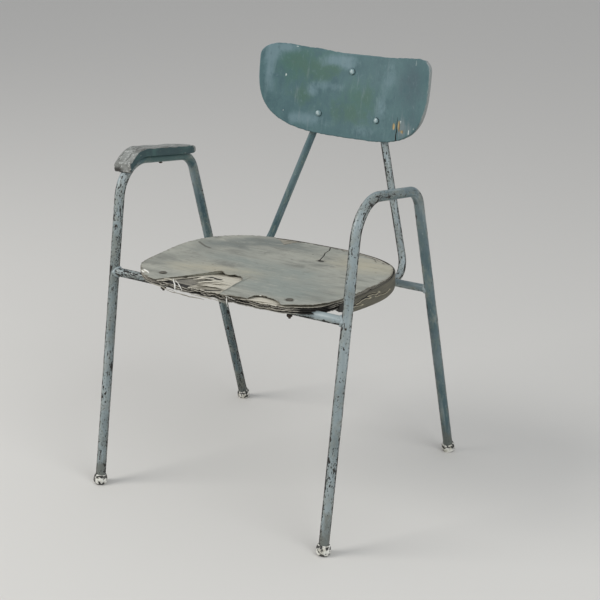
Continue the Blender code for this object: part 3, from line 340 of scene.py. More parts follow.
def bentRimWood():
    # steam-bent hardwood, oiled once and now olive brown: fine grain along the bend, dark open cracks with
    # paler broken lips; grain lines about 1.5 mm apart
    look = {"brown": "615D50", "olive": "4F4D41", "light": "787361", "dark": "37342B", "rimShade": "201E1A",
            "crack": "100E0B", "lip": "B0A890"}
    material, tree, shader = newFinish("bentRimWood", 0.6)
    own = ownValues(tree, "crack dirt")
    place = ownValues(tree, "bandSpace", "Vector")["bandSpace"]
    seen = patterns(tree, place, {"fibres": (40, (0.16, 8, 1), 6, 0.65), "cloud": (18, (0.5, 2, 1), 5, 0.6)})
    colour, _ = layCoats(tree, toLinear(look["olive"]), [
        (0.0, 0.0, seen["cloud"], 0.42, 0.62, 1.0, look["brown"]),
        (0.0, 0.0, seen["fibres"], 0.52, 0.68, 0.6, look["light"]),
        (0.0, 0.0, seen["fibres"], 0.46, 0.32, 0.6, look["dark"]),
        # painted shade: near black along the rim's top under the seat's overhang and over its front end in the hollow
        (own["dirt"], 1.0, 0.0, 0.15, 0.85, 0.95, look["rimShade"]),
        (own["crack"], 1.0, 0.0, 0.06, 0.24, 0.9, look["lip"]),
        (own["crack"], 1.0, 0.0, 0.36, 0.62, 1.0, look["crack"])])
    finishSkin(tree, shader, colour, seen["fibres"], 0.0005)
    return material


def weatheredArmWood():
    # beech arm pad: bare, silvered and split along the grain on top, the dark enamel still on its sides
    look = {"silver": "868884", "dark": "5C5D59", "pale": "BDBFBA", "fibre": "454540", "enamel": "32494B",
            "enamelPale": "42605D", "check": "2C2B27", "brown": "5A4A38"}
    material, tree, shader = newFinish("weatheredArmWood", 0.72)
    own = ownValues(tree, "paint check brown")
    place = addNode(tree, "ShaderNodeTexCoord", out="Object")
    seen = patterns(tree, place, {"fibres": (46, (9, 0.4, 6), 6, 0.65), "cloud": (45, (1.2, 0.6, 1), 5, 0.62),
                                  "specks": (240, (1, 0.6, 1), 4, 0.6)})
    wood, _ = layCoats(tree, toLinear(look["silver"]), [
        (0.0, 0.0, seen["cloud"], 0.50, 0.34, 0.9, look["dark"]),
        (0.0, 0.0, seen["fibres"], 0.53, 0.70, 0.6, look["fibre"]),
        (0.0, 0.0, seen["specks"], 0.56, 0.64, 0.8, look["pale"])])
    enamel, _ = layCoats(tree, toLinear(look["enamel"]), [
        (0.0, 0.0, seen["cloud"], 0.50, 0.70, 0.8, look["enamelPale"]),
        (0.0, 0.0, seen["specks"], 0.66, 0.72, 0.7, look["pale"])])
    colour, film = layCoats(tree, wood, [(own["paint"], 0.8, seen["fibres"], 0.86, 0.94, 1.0, enamel)])
    colour, _ = layCoats(tree, colour, [(own["brown"], 0.8, seen["cloud"], 0.9, 1.05, 1.0, look["brown"]),
                                        (own["check"], 1.0, 0.0, 0.35, 0.70, 0.95, look["check"])])
    tree.links.new(addNode(tree, "ShaderNodeMapRange", [film, 0.0, 1.0, 0.75, 0.48]), shader.inputs["Roughness"])
    height = addNode(tree, "ShaderNodeMath", [film, 0.5, seen["fibres"]], operation='MULTIPLY_ADD')
    finishSkin(tree, shader, colour, height, 0.0006)
    return material


def chalkyCapPlastic():
    # moulded polythene caps gone chalky white, flaked in patches down to black dirt
    look = {"white": "E4E3DB", "cream": "C2BFB1", "dirt": "2B2A26"}
    material, tree, shader = newFinish("chalkyCapPlastic", 0.55)
    own = ownValues(tree, "dirt")
    place = addNode(tree, "ShaderNodeTexCoord", out="Object")
    seen = patterns(tree, place, {"spots": (130, (1, 1, 1), 4, 0.6), "cloud": (60, (1, 1, 1), 3, 0.6)})
    colour, dirt = layCoats(tree, toLinear(look["white"]), [
        (0.0, 0.0, seen["cloud"], 0.48, 0.66, 1.0, look["cream"]),
        (own["dirt"], 0.25, seen["spots"], 0.60, 0.66, 1.0, look["dirt"])])
    height = addNode(tree, "ShaderNodeMath", [dirt, -1.0], operation='MULTIPLY')
    finishSkin(tree, shader, colour, height, 0.0006)
    return material


def rustedSteel(name, look):
    # plain steel fixings under dull rust and dirt, grit of about 3 mm and finer
    material, tree, shader = newFinish(name, 0.85)
    place = addNode(tree, "ShaderNodeTexCoord", out="Object")
    seen = patterns(tree, place, {"grit": (320, (1, 1, 1), 4, 0.65), "cloud": (90, (1, 1, 1), 3, 0.6)})
    colour, _ = layCoats(tree, toLinear(look["dark"]), [
        (0.0, 0.0, seen["cloud"], 0.42, 0.60, 1.0, look["brown"]),
        (0.0, 0.0, seen["grit"], 0.56, 0.70, 0.7, look["light"])])
    finishSkin(tree, shader, colour, seen["grit"], 0.0003)
    return material


def paintedBoltSteel():
    # round steel bolt heads under the back's own paint, rubbed lighter on the crown with a painted highlight there, and
    # darker round the foot with dirt and a painted shadow ring
    look = {"paint": "6F898B", "rubbedHighlight": "B4C0C0", "dirt": "28363A"}
    material, tree, shader = newFinish("paintedBoltSteel", 0.3)
    own = ownValues(tree, "crown")
    place = addNode(tree, "ShaderNodeTexCoord", out="Object")
    seen = patterns(tree, place, {"grit": (260, (1, 1, 1), 4, 0.6)})
    colour, _ = layCoats(tree, toLinear(look["paint"]), [
        # painted highlight on the crown, partly rubbed paint; painted shadow ring round the foot, partly dirt
        (own["crown"], 0.6, seen["grit"], 0.95, 1.15, 0.9, look["rubbedHighlight"]),
        (own["crown"], 0.5, seen["grit"], 0.72, 0.60, 1.0, look["dirt"])])
    finishSkin(tree, shader, colour, seen["grit"], 0.0002)
    return material


tubeFinish = chippedEnamel()
backFinish = tealPlyPaint()
topLeafFinish = weatheredVeneer()
creamLeafFinish = brokenLeaf("creamLeaf", {"grey": "979284", "dark": "6E695C", "fresh": "BDB8A9", "shade": "4A4338",
                                           "tip": "B8B3A5", "slit": "15120F", "stretch": (0.5, 9, 6)})
greyLeafFinish = brokenLeaf("greyLeaf", {"grey": "6E6B63", "dark": "45423C", "fresh": "928D80", "shade": "2B2823",
                                         "tip": "A9A498", "slit": "15120F", "stretch": (9, 0.5, 6)})
darkLeafFinish = brokenLeaf("darkLeaf", {"grey": "5E5C56", "dark": "3A3833", "fresh": "7C786D", "shade": "24221E",
                                         "tip": "908D84", "slit": "14120F", "stretch": (0.5, 9, 6)})
splinterFinish = brokenLeaf("paleSplinter", {"grey": "CFCEC6", "dark": "B4B2A8", "fresh": "E2E0D8", "shade": "979486",
                                             "tip": "DAD8CF", "slit": "1B1814", "stretch": (2, 2, 2)})
# painted shade: the split's walls in the back, weathered wood drawn near black for the shade inside the narrow crack
splitShadeFinish = brokenLeaf("splitWallShade", {"grey": "3A352C", "dark": "1E1B16", "fresh": "6A5A42", "shade": "14120F",
                                     "tip": "6A5A42", "slit": "14120F", "stretch": (0.5, 9, 6)})
rimFinish = bentRimWood()
armFinish = weatheredArmWood()
capFinish = chalkyCapPlastic()
rustFinish = rustedSteel("rustedFixing", {"dark": "26231F", "brown": "4A3C30", "light": "66503D"})
seatBoltFinish = rustedSteel("dirtySeatBolt", {"dark": "45423B", "brown": "5C584E", "light": "77736A"})
boltFinish = paintedBoltSteel()
print("materials made")

tubes = {"leg": 0.020, "frontBar": 0.018, "rearBar": 0.016, "hoop": 0.016, "sides": 36,
         "halfWidth": 0.268, "footSpread": 0.262, "frontCorner": (-0.148, 0.657), "rearCorner": (0.075, 0.622),
         "frontBend": 0.075, "rearBend": 0.050, "legEnd": 0.0062, "frontBarHeight": 0.438, "rearBarHeight": 0.404,
         "lostScrew": (0.012, 0.0024)}


def legY(height, front):
    # where a leg's middle line lies at a height: foot + share of the way to the corner
    cornerY, cornerZ = tubes["frontCorner" if front else "rearCorner"]
    start = -tubes["footSpread"] if front else tubes["footSpread"]
    return start + (cornerY - start) * height / cornerZ


def bentPath(corners, bends, spacing=0.008):
    # straight runs joined by arcs: each arc is its middle + bend * (cos * first side + sin * way onward)
    corners = [numpy.array(corner, float) for corner in corners]
    here, runs = corners[0], []
    for before, corner, after, bend in zip(corners, corners[1:], corners[2:], bends):
        back, onward = unit(before - corner), unit(after - corner)
        half = math.acos(back @ onward) / 2
        start = corner + back * bend / math.tan(half)
        middle = corner + unit(back + onward) * bend / math.sin(half)
        turn = numpy.linspace(0, math.pi - 2 * half, 26)[:, None]
        count = max(2, int(numpy.linalg.norm(start - here) / spacing))
        runs.append(here + (start - here) * numpy.linspace(0, 1, count, endpoint=False)[:, None])
        runs.append((middle + numpy.cos(turn) * (start - middle) - numpy.sin(turn) * back * bend)[:-1])
        here = corner + onward * bend / math.tan(half)
    count = max(2, int(numpy.linalg.norm(corners[-1] - here) / spacing))
    runs.append(here + (corners[-1] - here) * numpy.linspace(0, 1, count)[:, None])
    return numpy.concatenate(runs)


def addTube(name, path, diameter, seed, wear, tone, node, dents=0.00012):
    # a circle carried along the path: point + radius * (cos * across + sin * over), hardly uneven
    along = numpy.gradient(path, axis=0)
    along /= numpy.linalg.norm(along, axis=1)[:, None]
    guide = numpy.array([1.0, 0, 0]) if abs(along[0, 0]) < 0.9 else numpy.array([0, 1.0, 0])
    across = []
    for way in along:
        guide = unit(guide - way * (guide @ way))
        across.append(guide)
    across = numpy.array(across)
    turn = numpy.linspace(0, 2 * math.pi, tubes["sides"], endpoint=False)[None, :, None]
    out = numpy.cos(turn) * across[:, None] + numpy.sin(turn) * numpy.cross(along, across)[:, None]
    radius = diameter / 2 + dents * (ripple(path[:, None] + out * 0.01, 0.05, seed) - 1)[..., None]
    points = path[:, None] + out * radius
    length = numpy.concatenate([[0], numpy.cumsum(numpy.linalg.norm(numpy.diff(path, axis=0), axis=1))])
    space = numpy.concatenate([numpy.cos(turn) * diameter / 2 + 0 * radius, numpy.sin(turn) * diameter / 2 + 0 * radius,
                               length[:, None, None] + 0 * radius], -1) + seed * 0.37
    rows, columns = points.shape[:2]
    return addPiece(name, points, gridFaces(rows, columns, False, True), endCaps(rows, columns), tubeFinish,
                    {"tubeSpace": space, "wear": wear(points, out), "tone": tone(points, out),
                     "grime": floorDirt(points)}, node)


def floorDirt(p):
    # dirt settles on the last hand's width above the floor
    return 0.9 * smooth(-p[..., 2], -0.11, -0.02)


def sideWearAndShade(out):
    # the two sides of a tube that knees and hands rub, and painted shade along its two edges as seen from the camera:
    # highest where it faces across the view
    return numpy.abs(out @ numpy.array([0.84, 0.55, 0])) ** 4


def sidePath(side):
    # front foot, front corner, rear corner, rear foot
    x = side * tubes["halfWidth"]
    end = tubes["legEnd"] + 0.0005
    corners = [(x, legY(end, True), end), (x, *tubes["frontCorner"]), (x, *tubes["rearCorner"]),
               (x, legY(end, False), end)]
    return bentPath(corners, (tubes["frontBend"], tubes["rearBend"]))


def rightWear(p, out):
    # the right front leg has lost most, above all between the bar and the bend; the rear leg along its sides; the sides
    # also get more flakes as painted shade along the edges seen from the camera
    front = smooth(-p[..., 1], -0.02, 0.06)
    high = smooth(p[..., 2], 0.38, 0.44) * smooth(-p[..., 2], -0.68, -0.60)
    arm = smooth(p[..., 2], 0.60, 0.64) * smooth(p[..., 1], -0.13, -0.09) * smooth(-p[..., 1], -0.08, -0.05)
    return (front * (0.42 + 0.10 * high + 0.45 * sideWearAndShade(out))
            + (1 - front) * (0.24 + 0.50 * sideWearAndShade(out) + 0.30 * smooth(-p[..., 2], -0.36, -0.20))) * (1 - arm)


def leftWear(p, out):
    # few chips on the left front leg, most low down and over the bend; more on the sides, partly as painted shade along
    # the edges seen from the camera
    front = smooth(-p[..., 1], -0.02, 0.06)
    low = blob(p[..., 2], 0, 0.16, 0, 0.05, 1)
    bend = blob(p[..., 1], p[..., 2], -0.12, 0.62, 0.06, 0.05)
    return (front * (0.30 + 0.26 * low + 0.20 * bend + 0.70 * sideWearAndShade(out))
            + (1 - front) * (0.14 + 0.62 * sideWearAndShade(out)))


def frameTone(p, out):
    # teal still on the arms' inner and lower sides and on the rear legs; the front legs have faded pale
    arm = smooth(p[..., 2], 0.56, 0.64) * smooth(p[..., 1], -0.14, -0.06)
    bend = blob(p[..., 1], p[..., 2], 0.080, 0.61, 0.028, 0.03)
    rear = smooth(p[..., 1], 0.05, 0.10)
    hidden = 0.25 * smooth(-out[..., 2], -0.2, 0.7) + 0.15 * smooth(-out[..., 0] * numpy.sign(p[..., 0]), 0, 0.8)
    rest = 0.5 * arm * (p[..., 0] < 0)
    return 0.10 + 0.62 * arm + rest + hidden * (0.3 + 0.7 * arm) + 0.62 * rear * (1 - arm) - 0.30 * bend


addTube("sideTubeRight", sidePath(-1), tubes["leg"], 1, rightWear, frameTone, "side_frame_right")
leftTube = addTube("sideTubeLeft", sidePath(1), tubes["leg"], 2, leftWear, frameTone, "side_frame_left")


def lostScrewHole():
    # round hole through the left arm, where its rest was screwed on: a ring carried up across the tube
    holeY, radius = tubes["lostScrew"]
    way = unit(numpy.array(tubes["rearCorner"]) - numpy.array(tubes["frontCorner"]))
    up = numpy.array([0, -way[1], way[0]])
    share = (holeY - tubes["frontCorner"][0]) / (tubes["rearCorner"][0] - tubes["frontCorner"][0])
    height = tubes["frontCorner"][1] + (tubes["rearCorner"][1] - tubes["frontCorner"][1]) * share
    middle = numpy.array([tubes["halfWidth"], holeY, height])
    turn = numpy.linspace(0, 2 * math.pi, 20, endpoint=False)[None, :, None]
    level = numpy.array([-0.014, 0.014])[:, None, None]
    rings = middle + radius * (numpy.cos(turn) * numpy.array([1.0, 0, 0])
                               + numpy.sin(turn) * numpy.array([0, *way])) + level * up
    cutAway(leftTube, rings, rustFinish)


lostScrewHole()
barY = legY(tubes["frontBarHeight"], True)
rearBarY = legY(tubes["rearBarHeight"], False)
reach = tubes["halfWidth"] - 0.004


def frontBarWear(p, out):
    # stripped at the right end, chipped along its underside elsewhere, hardly on top; a little more on its sides,
    # partly as painted shade
    right = smooth(-p[..., 0], 0.13, 0.16)
    return 0.78 * right + (1 - right) * (0.10 + 0.85 * smooth(-out[..., 2], -0.25, 0.75) + 0.1 * sideWearAndShade(out))


addTube("frontBar", numpy.linspace((-reach, barY, 0.438), (reach, barY, 0.438), 90), tubes["frontBar"], 3,
        frontBarWear, lambda p, out: 0.02 + 0.12 * smooth(0.2 - numpy.abs(p[..., 0]), 0, 0.1), "front_crossbar")
addTube("rearBar", numpy.linspace((-reach, rearBarY, 0.404), (reach, rearBarY, 0.404), 70), tubes["rearBar"], 4,
        lambda p, out: 0.22 + 0.3 * smooth(-out[..., 2], 0, 0.8), lambda p, out: 0.5 + 0 * p[..., 0], "rear_crossbar")

hoop = {"halfWidth": 0.172, "lowY": 0.217, "lowZ": 0.398, "lean": 0.216, "drawIn": 0.333, "topBend": 0.058,
        "footBend": 0.048}
apexZ = hoop["lowZ"] + hoop["halfWidth"] / hoop["drawIn"]
hoopCorners = [(-hoop["halfWidth"], rearBarY + 0.004, hoop["lowZ"]), (-hoop["halfWidth"], hoop["lowY"], hoop["lowZ"]),
               (0, hoop["lowY"] + hoop["lean"] * (apexZ - hoop["lowZ"]), apexZ),
               (hoop["halfWidth"], hoop["lowY"], hoop["lowZ"]), (hoop["halfWidth"], rearBarY + 0.004, hoop["lowZ"])]
# the hoop's wear rises on its sides, partly as painted shade along the edges seen from the camera
addTube("hoopTube", bentPath(hoopCorners, (hoop["footBend"], hoop["topBend"], hoop["footBend"])), tubes["hoop"], 6,
        lambda p, out: 0.14 + smooth(p[..., 0], 0.0, 0.1) * (0.34 + 0.75 * sideWearAndShade(out)),
        lambda p, out: 0.85 - 0.75 * smooth(p[..., 0], 0.0, 0.1), "back_hoop")


def weldBead(name, side, height, front, barTube, seed):
    # a lumpy ring where a bar meets a leg: on the bar's skin, pushed along it to the leg's round side
    y = legY(height, front)
    around = numpy.linspace(0, 2 * math.pi, 72, endpoint=False)[:, None]
    small = numpy.linspace(0, 2 * math.pi, 14, endpoint=False)[None, :]
    tilt = math.atan(legY(1, front) - legY(0, front))
    across = barTube / 2 * numpy.cos(around) * math.cos(tilt) - barTube / 2 * numpy.sin(around) * math.sin(tilt)
    meet = tubes["halfWidth"] - numpy.sqrt(numpy.clip((tubes["leg"] / 2) ** 2 - across ** 2, 0, None))
    lump = 0.0027 * (1 + 0.20 * ripple(numpy.concatenate([numpy.cos(around), numpy.sin(around)], -1), 0.9, seed))
    out = barTube / 2 + lump[:, None] * numpy.cos(small) * 0.8
    x = side * (meet - 0.0004 + lump[:, None] * numpy.sin(small) * 1.3)
    points = numpy.stack([x + 0 * out, y + out * numpy.cos(around), height + out * numpy.sin(around)], -1)
    addPiece(name, points, gridFaces(72, 14, True, True), [], tubeFinish,
             {"tubeSpace": points + seed, "wear": 0.05 + 0 * out, "tone": -0.2 + 0 * out, "grime": 0 * out})


for side, hand in ((-1, "Right"), (1, "Left")):
    weldBead("frontWeld" + hand, side, tubes["frontBarHeight"], True, tubes["frontBar"], 11 + side)
    weldBead("rearWeld" + hand, side, tubes["rearBarHeight"], False, tubes["rearBar"], 21 + side)
print("tubes made")

seat = {"halfWidth": 0.2325, "middleY": -0.030, "frontReach": 0.204, "rearReach": 0.204, "frontPower": 4.2,
        "rearPower": 2.9, "slope": 0.035, "dish": 0.004, "rest": 0.438 + 0.009 + 0.0003}
# each leaf, in mm: height of its underside, thickness, how far back its edge lies, how it frays and combs out,
# its own unevenness, and how far its edge has moved up or down at each of the angles round the broken front
leafAngles = (-150, -130, -110, -88, -70, -55, -42, -30, -15, 0, 15)
leaves = {
    "topLeaf": {"base": 7.8, "thick": 1.2, "back": 1.0, "fray": 1.6, "comb": 0.5, "wave": 0.6,
                "lift": (0.3, 0.6, 1.5, 2.2, 3.0, 3.8, 5.0, 5.0, 3.2, 2.2, 0)},
    "secondLeaf": {"base": 5.6, "thick": 2.0, "back": 3.0, "fray": 2.2, "comb": 2.6, "wave": 0.5,
                   "lift": (0.2, 0.2, 0.8, 0.8, 1.0, 0.8, 1.2, 1.6, 0.6, 0.2, 0)},
    "thirdLeaf": {"base": 3.4, "thick": 2.0, "back": 4.0, "fray": 4.0, "comb": 0.8, "wave": 0.6,
                  "lift": (0, -0.2, -0.4, -0.6, -0.8, -0.8, -0.8, -0.4, 0, 0, 0)},
    "fourthLeaf": {"base": 1.3, "thick": 2.0, "back": 3.0, "fray": 2.8, "comb": 3.2, "wave": 0.9,
                   "lift": (0, -0.6, -1.2, -1.6, -2.2, -2.6, -2.2, -1.6, -0.4, 0, 0)},
    "bottomLeaf": {"base": 0.1, "thick": 1.2, "back": 1.0, "fray": 2.6, "comb": 0.4, "wave": 0.9,
                   "lift": (0, -1, -2, -2.6, -3.8, -4.6, -5.2, -5.0, -1.6, 0, 0)}}
# how far from the seat's middle the torn places of the two upper leaves reach, by angle
topTear = {"angle": (-125, -122.6, -121.6, -118.9, -114, -109, -103, -98, -95.3, -91, -87, -85.6, -84.8, -84.2, -83.4,
                     -68.4, -67.4, -65, -61.7, -59.5, -57.8, -55.6, -54.4, -52.6, -51.6,
                     36, 40.7, 52.8, 63.8, 79.1, 88.8, 99.9, 105.6, 113, 119.3, 124),
           "reach": (0.26, 0.180, 0.1365, 0.1074, 0.106, 0.100, 0.0985, 0.0900, 0.0864, 0.096, 0.1060, 0.1104, 0.150,
                     0.185, 0.26, 0.26, 0.214, 0.200, 0.194, 0.199, 0.2045, 0.212, 0.220, 0.230, 0.26,
                     0.26, 0.2348, 0.2217, 0.2037, 0.1976, 0.195, 0.199, 0.1937, 0.171, 0.2099, 0.26)}
secondTear = {"angle": (-122, -120.5, -118.5, -115, -111, -107.5, -106, -104),
              "reach": (0.26, 0.176, 0.150, 0.146, 0.152, 0.168, 0.186, 0.26)}
# lines on the second leaf inside the tear, each with its width, drawn near black: painted shade in the open slits and
# beneath the ledge, and the dark of a crack and of marks
slitShadeLines = [(((-0.0700, -0.1700), (-0.053, -0.1532), (-0.0341, -0.1518)), 0.0048),
         (((-0.0640, -0.2054), (-0.0591, -0.1822), (-0.0452, -0.169)), 0.0044),
         (((-0.0182, -0.2212), (0.0068, -0.2119)), 0.0036), (((-0.0972, -0.2068), (-0.0956, -0.1748)), 0.0022),
         (((0.0069, -0.1465), (0.0135, -0.1865), (0.0221, -0.2211)), 0.0026),
         (((-0.147, -0.1996), (-0.1381, -0.1869)), 0.0022)]
knot = {"place": (0.057, 0.071), "long": 0.0176, "wide": 0.0092}
crackLine = ((0.052, 0.074), (0.047, 0.092), (0.043, 0.106), (0.036, 0.122), (0.034, 0.142), (0.026, 0.160),
             (0.023, 0.182))
# the line beneath the top leaf's torn ledge, drawn near black on the second leaf as painted shade
ledgeShadeLine = ((-0.1795, -0.2107), (-0.1279, -0.229), (-0.1054, -0.2248), (-0.0874, -0.2149))


def seatReach(turn):
    # how far the outline is from the middle: a rounded oblong, flatter in front than behind
    across = numpy.abs(numpy.cos(turn)) / seat["halfWidth"]
    deep = numpy.abs(numpy.sin(turn)) / numpy.where(numpy.sin(turn) < 0, seat["frontReach"], seat["rearReach"])
    power = numpy.where(numpy.sin(turn) < 0, seat["frontPower"], seat["rearPower"])
    return (across ** power + deep ** power) ** (-1 / power)


def seatUnder(x, y):
    # height of the seat's underside: it slopes down to the rear and is dished behind the bar
    turn = numpy.arctan2(y - seat["middleY"], x)
    share = numpy.hypot(x, y - seat["middleY"]) / seatReach(turn)
    behind = numpy.clip((y - barMiddle[1]) / seat["frontReach"] - 0.1, 0, 1)
    dish = seat["dish"] * numpy.clip(1 - share ** 2, 0, 1) ** 2 * numpy.sin(behind * math.pi / 2)
    return seat["rest"] - seat["slope"] * (y - barMiddle[1]) - dish


def hill(turn, middle, spread):
    # round hill of one over an angle, in degrees
    away = (numpy.degrees(turn) - middle + 180) % 360 - 180
    return numpy.cos(numpy.clip(away / spread, -1, 1) * math.pi / 2) ** 2


def topLeafPaint(x, y):
    # where the top leaf keeps paint, is tinted or warm, and its stains: two bolt heads, knot, small marks, and a thin
    # dark line drawn forward and inward from below the right rear leg
    marks = ((-0.067, 0.0533), (-0.125, -0.083), (-0.105, -0.078), (-0.0795, -0.1055), (0.02, 0.10), (0.19, 0.06))
    ragged = 0.003 * ripple(numpy.stack([x, y], -1), 0.016, 17)
    spots = sum(blob(x + ragged, y, spot, barMiddle[1], 0.0135, 0.0110) for spot in (-0.146, 0.146))
    # a thin dark line drawn in the stain colour, running forward and inward from below the right rear leg
    teal = stroke(x, y, ((-0.2186, 0.0333), (-0.191, 0.0171), (-0.1765, 0.0133)), 0.004)
    behind = stroke(x, y + ragged, ((0.1556, 0.123), (0.134, 0.1466), (0.090, 0.1528), (0.0374, 0.164), (0.0031, 0.165),
                                    (-0.0342, 0.166), (-0.0521, 0.1565), (-0.0668, 0.1274)), 0.0022)
    return {"paint": (blob(x, y, -0.150, 0.075, 0.055, 0.035) + blob(x, y, -0.070, 0.125, 0.09, 0.03)
                      + 0.6 * blob(x, y, -0.190, 0.02, 0.03, 0.05)).clip(0, 1),
            "tint": (blob(x, y, 0.10, -0.13, 0.12, 0.07) + 0.7 * blob(x, y, 0.02, -0.03, 0.1, 0.05)
                     + 0.5 * blob(x, y, -0.12, -0.02, 0.06, 0.03)).clip(0, 1),
            "warm": (blob(x, y, -0.04, -0.09, 0.08, 0.035) + 0.9 * blob(x, y, 0.14, 0.09, 0.09, 0.05)
                     + 0.5 * blob(x, y, -0.14, -0.13, 0.06, 0.04)).clip(0, 1),
            "stain": (0.62 * spots + 0.6 * sum(blob(x, y, *mark, 0.004, 0.0028) for mark in marks) + 0.7 * behind
                      + 0.7 * teal + 0.75 * blob(x, y, 0.057, 0.071, 0.013, 0.009)).clip(0, 1),
            "white": (blob(x, y, -0.182, -0.198, 0.012, 0.006) + blob(x, y, 0.0919, -0.202, 0.003, 0.003)
                      + blob(x, y, 0.08, -0.2147, 0.003, 0.002)).clip(0, 1)}


def leafPiece(name, finish, start, seed, tear=None, node=None):
    # polar sheet: reach * share outward, under + base + thickness, its edge bent up or down by lift * nearness
    leaf = leaves[name]
    behind = 300 if name == "topLeaf" else 120
    turn = numpy.radians(numpy.concatenate([numpy.linspace(-152, -18, 460, endpoint=False),
                                            numpy.linspace(-18, 208, behind, endpoint=False)]))
    whole = seatReach(turn) + 0.005 * hill(turn, 172, 34) - 0.0075 * hill(turn, 219, 14) - 0.0035 * hill(turn, 105, 30)
    rimPlace = numpy.stack([whole * numpy.cos(turn), whole * numpy.sin(turn)], -1)
    broken = numpy.clip(hill(turn, -88, 70) + 0.35 * hill(turn, -12, 50) + 0.05, 0, 1)
    step = numpy.abs(ripple(rimPlace, 0.050, seed)) + 0.5 * numpy.abs(ripple(rimPlace, 0.014, seed + 1))
    edge = whole - (leaf["back"] + broken * (leaf["fray"] * step
                                             + leaf["comb"] * numpy.abs(ripple(rimPlace, 0.0045, seed + 2)))) / 1000
    if tear:
        torn = numpy.interp(numpy.degrees(turn), tear["angle"], tear["reach"], left=0.26, right=0.26)
        torn = torn + 0.0016 * ripple(rimPlace, 0.007, seed + 3) + 0.0012 * ripple(rimPlace, 0.020, seed + 4)
        edge = numpy.minimum(edge, torn)
    lift = numpy.interp(numpy.degrees(turn), leafAngles, leaf["lift"], left=0, right=0)
    lift = (lift + broken * (1.1 * ripple(rimPlace, 0.060, 99)
                             + leaf["wave"] * ripple(rimPlace, 0.030, seed + 6))) / 1000
    # the veneer stands up highest along the rear left of the tear, and lies up at the right side
    if name == "topLeaf":
        lift = lift + 0.0060 * hill(turn, -118, 7) + 0.003 * hill(turn, -104, 9) + 0.003 * hill(turn, 172, 45)
    if name == "secondLeaf":
        lift = lift + 0.0030 * hill(turn, -114, 9)
    steps, crowd = {"topLeaf": (93, 1.3), "secondLeaf": (121, 1.15)}.get(name, (37, 1.8))
    share = 1 - (1 - start) * (1 - numpy.linspace(0, 1, steps)) ** crowd
    radius = edge[:, None] * share
    near = numpy.clip(1 - (edge[:, None] - radius) / 0.038, 0, 1) ** 1.7
    x = radius * numpy.cos(turn)[:, None]
    y = seat["middleY"] + radius * numpy.sin(turn)[:, None]
    # painted shade: the slit lines are drawn near black on the second leaf, which is also sunk a little there
    slit = sum(stroke(x, y, *mark) for mark in slitShadeLines).clip(0, 1) if name == "secondLeaf" else 0 * x
    fuzz = 0.00022 * ripple(numpy.stack([x * 0.4, y * 3], -1), 0.012, seed + 7) * (0.3 + near)
    low = seatUnder(x, y) + leaf["base"] / 1000 + lift[:, None] * near + fuzz
    thick = leaf["thick"] / 1000 * (1 - (0.35 * near ** 6 if name == "topLeaf" else 0.62 * near ** 2))
    points = numpy.concatenate([numpy.stack([x, y, low + thick - 0.0014 * slit], -1),
                                numpy.stack([x, y, low], -1)[:, ::-4]], 1)
    rows, columns = points.shape[:2]
    both = lambda value: numpy.concatenate([value, value[:, ::-4]], 1)   # the underside needs a quarter of the rings
    px, py = points[..., 0], points[..., 1]
    if name == "topLeaf":
        values = {"edge": both(near ** 3), **topLeafPaint(px, py)}
    else:
        # painted shade: dark bands in the gaps behind the lower leaves' edges, deepest where thin leaves curl over the
        # rim's front end
        under = both(0.8 * smooth(near, 0.30, 0.55) * (1 - smooth(near, 0.86, 0.96))
                     + hill(turn, -38, 13)[:, None] * near ** 2)
        if name == "secondLeaf":
            # painted shade on the second leaf: near black beneath the top leaf's ledge, and under the knot's pit and
            # the crack's trench cut through the top leaf
            under = (stroke(px, py, ledgeShadeLine, 0.0025) + stroke(px, py, crackLine, 0.003)
                     + blob(px, py, *knot["place"], 0.013, 0.009))
        values = {"edge": both(near ** 5), "slit": (both(slit) + under).clip(0, 1),
                  "fresh": (1.2 * blob(px, py, -0.025, -0.165, 0.055, 0.05) + blob(px, py, 0.112, -0.212, 0.03, 0.02)
                            + 0.7 * (smooth(px, 0.05, 0.1) + smooth(-px, 0.02, 0.1)) * both(near)).clip(0, 1)}
    hollow = start > 0.1   # a hidden leaf is a ring: its inner wall closes it
    return addPiece(name, points, gridFaces(rows, columns, True, hollow), [] if hollow else poleCaps(rows, columns),
                    finish, values, node)


topLeaf = leafPiece("topLeaf", topLeafFinish, 0.03, 31, topTear, "seat_panel")
leafPiece("secondLeaf", creamLeafFinish, 0.36, 41, secondTear)
leafPiece("thirdLeaf", greyLeafFinish, 0.40, 51)
leafPiece("fourthLeaf", greyLeafFinish, 0.55, 61)
leafPiece("bottomLeaf", darkLeafFinish, 0.03, 71)


def knotAndCrack():
    # an uneven oval pit, and a narrow trench that runs from it to the rear edge, both as rings stacked or carried
    around = numpy.linspace(0, 2 * math.pi, 22, endpoint=False)
    uneven = 1 + 0.18 * ripple(numpy.stack([numpy.cos(around), numpy.sin(around)], -1), 1.4, 8)
    ovalX = knot["place"][0] + knot["long"] / 2 * numpy.cos(around) * uneven
    ovalY = knot["place"][1] + knot["wide"] / 2 * numpy.sin(around) * uneven
    top = seatUnder(*knot["place"]) + 0.009
    pit = numpy.stack([numpy.stack([ovalX, ovalY, top + level + 0 * ovalX], -1) for level in (-0.0035, 0.004)])
    cutAway(topLeaf, pit, darkLeafFinish)
    path = numpy.array(crackLine)
    wide = numpy.array([0.0014, 0.0010, 0.0013, 0.0010, 0.0013, 0.0016, 0.0022])[:, None]
    way = numpy.gradient(path, axis=0)
    sideways = numpy.stack([-way[:, 1], way[:, 0]], -1) / numpy.linalg.norm(way, axis=1)[:, None]
    height = seatUnder(path[:, 0], path[:, 1])[:, None] + 0.009
    corners = ((-1, -0.0034), (1, -0.0034), (1, 0.005), (-1, 0.005))
    trench = numpy.stack([numpy.hstack([path + sideways * wide * a, height + b]) for a, b in corners], 1)
    cutAway(topLeaf, trench, darkLeafFinish)


knotAndCrack()


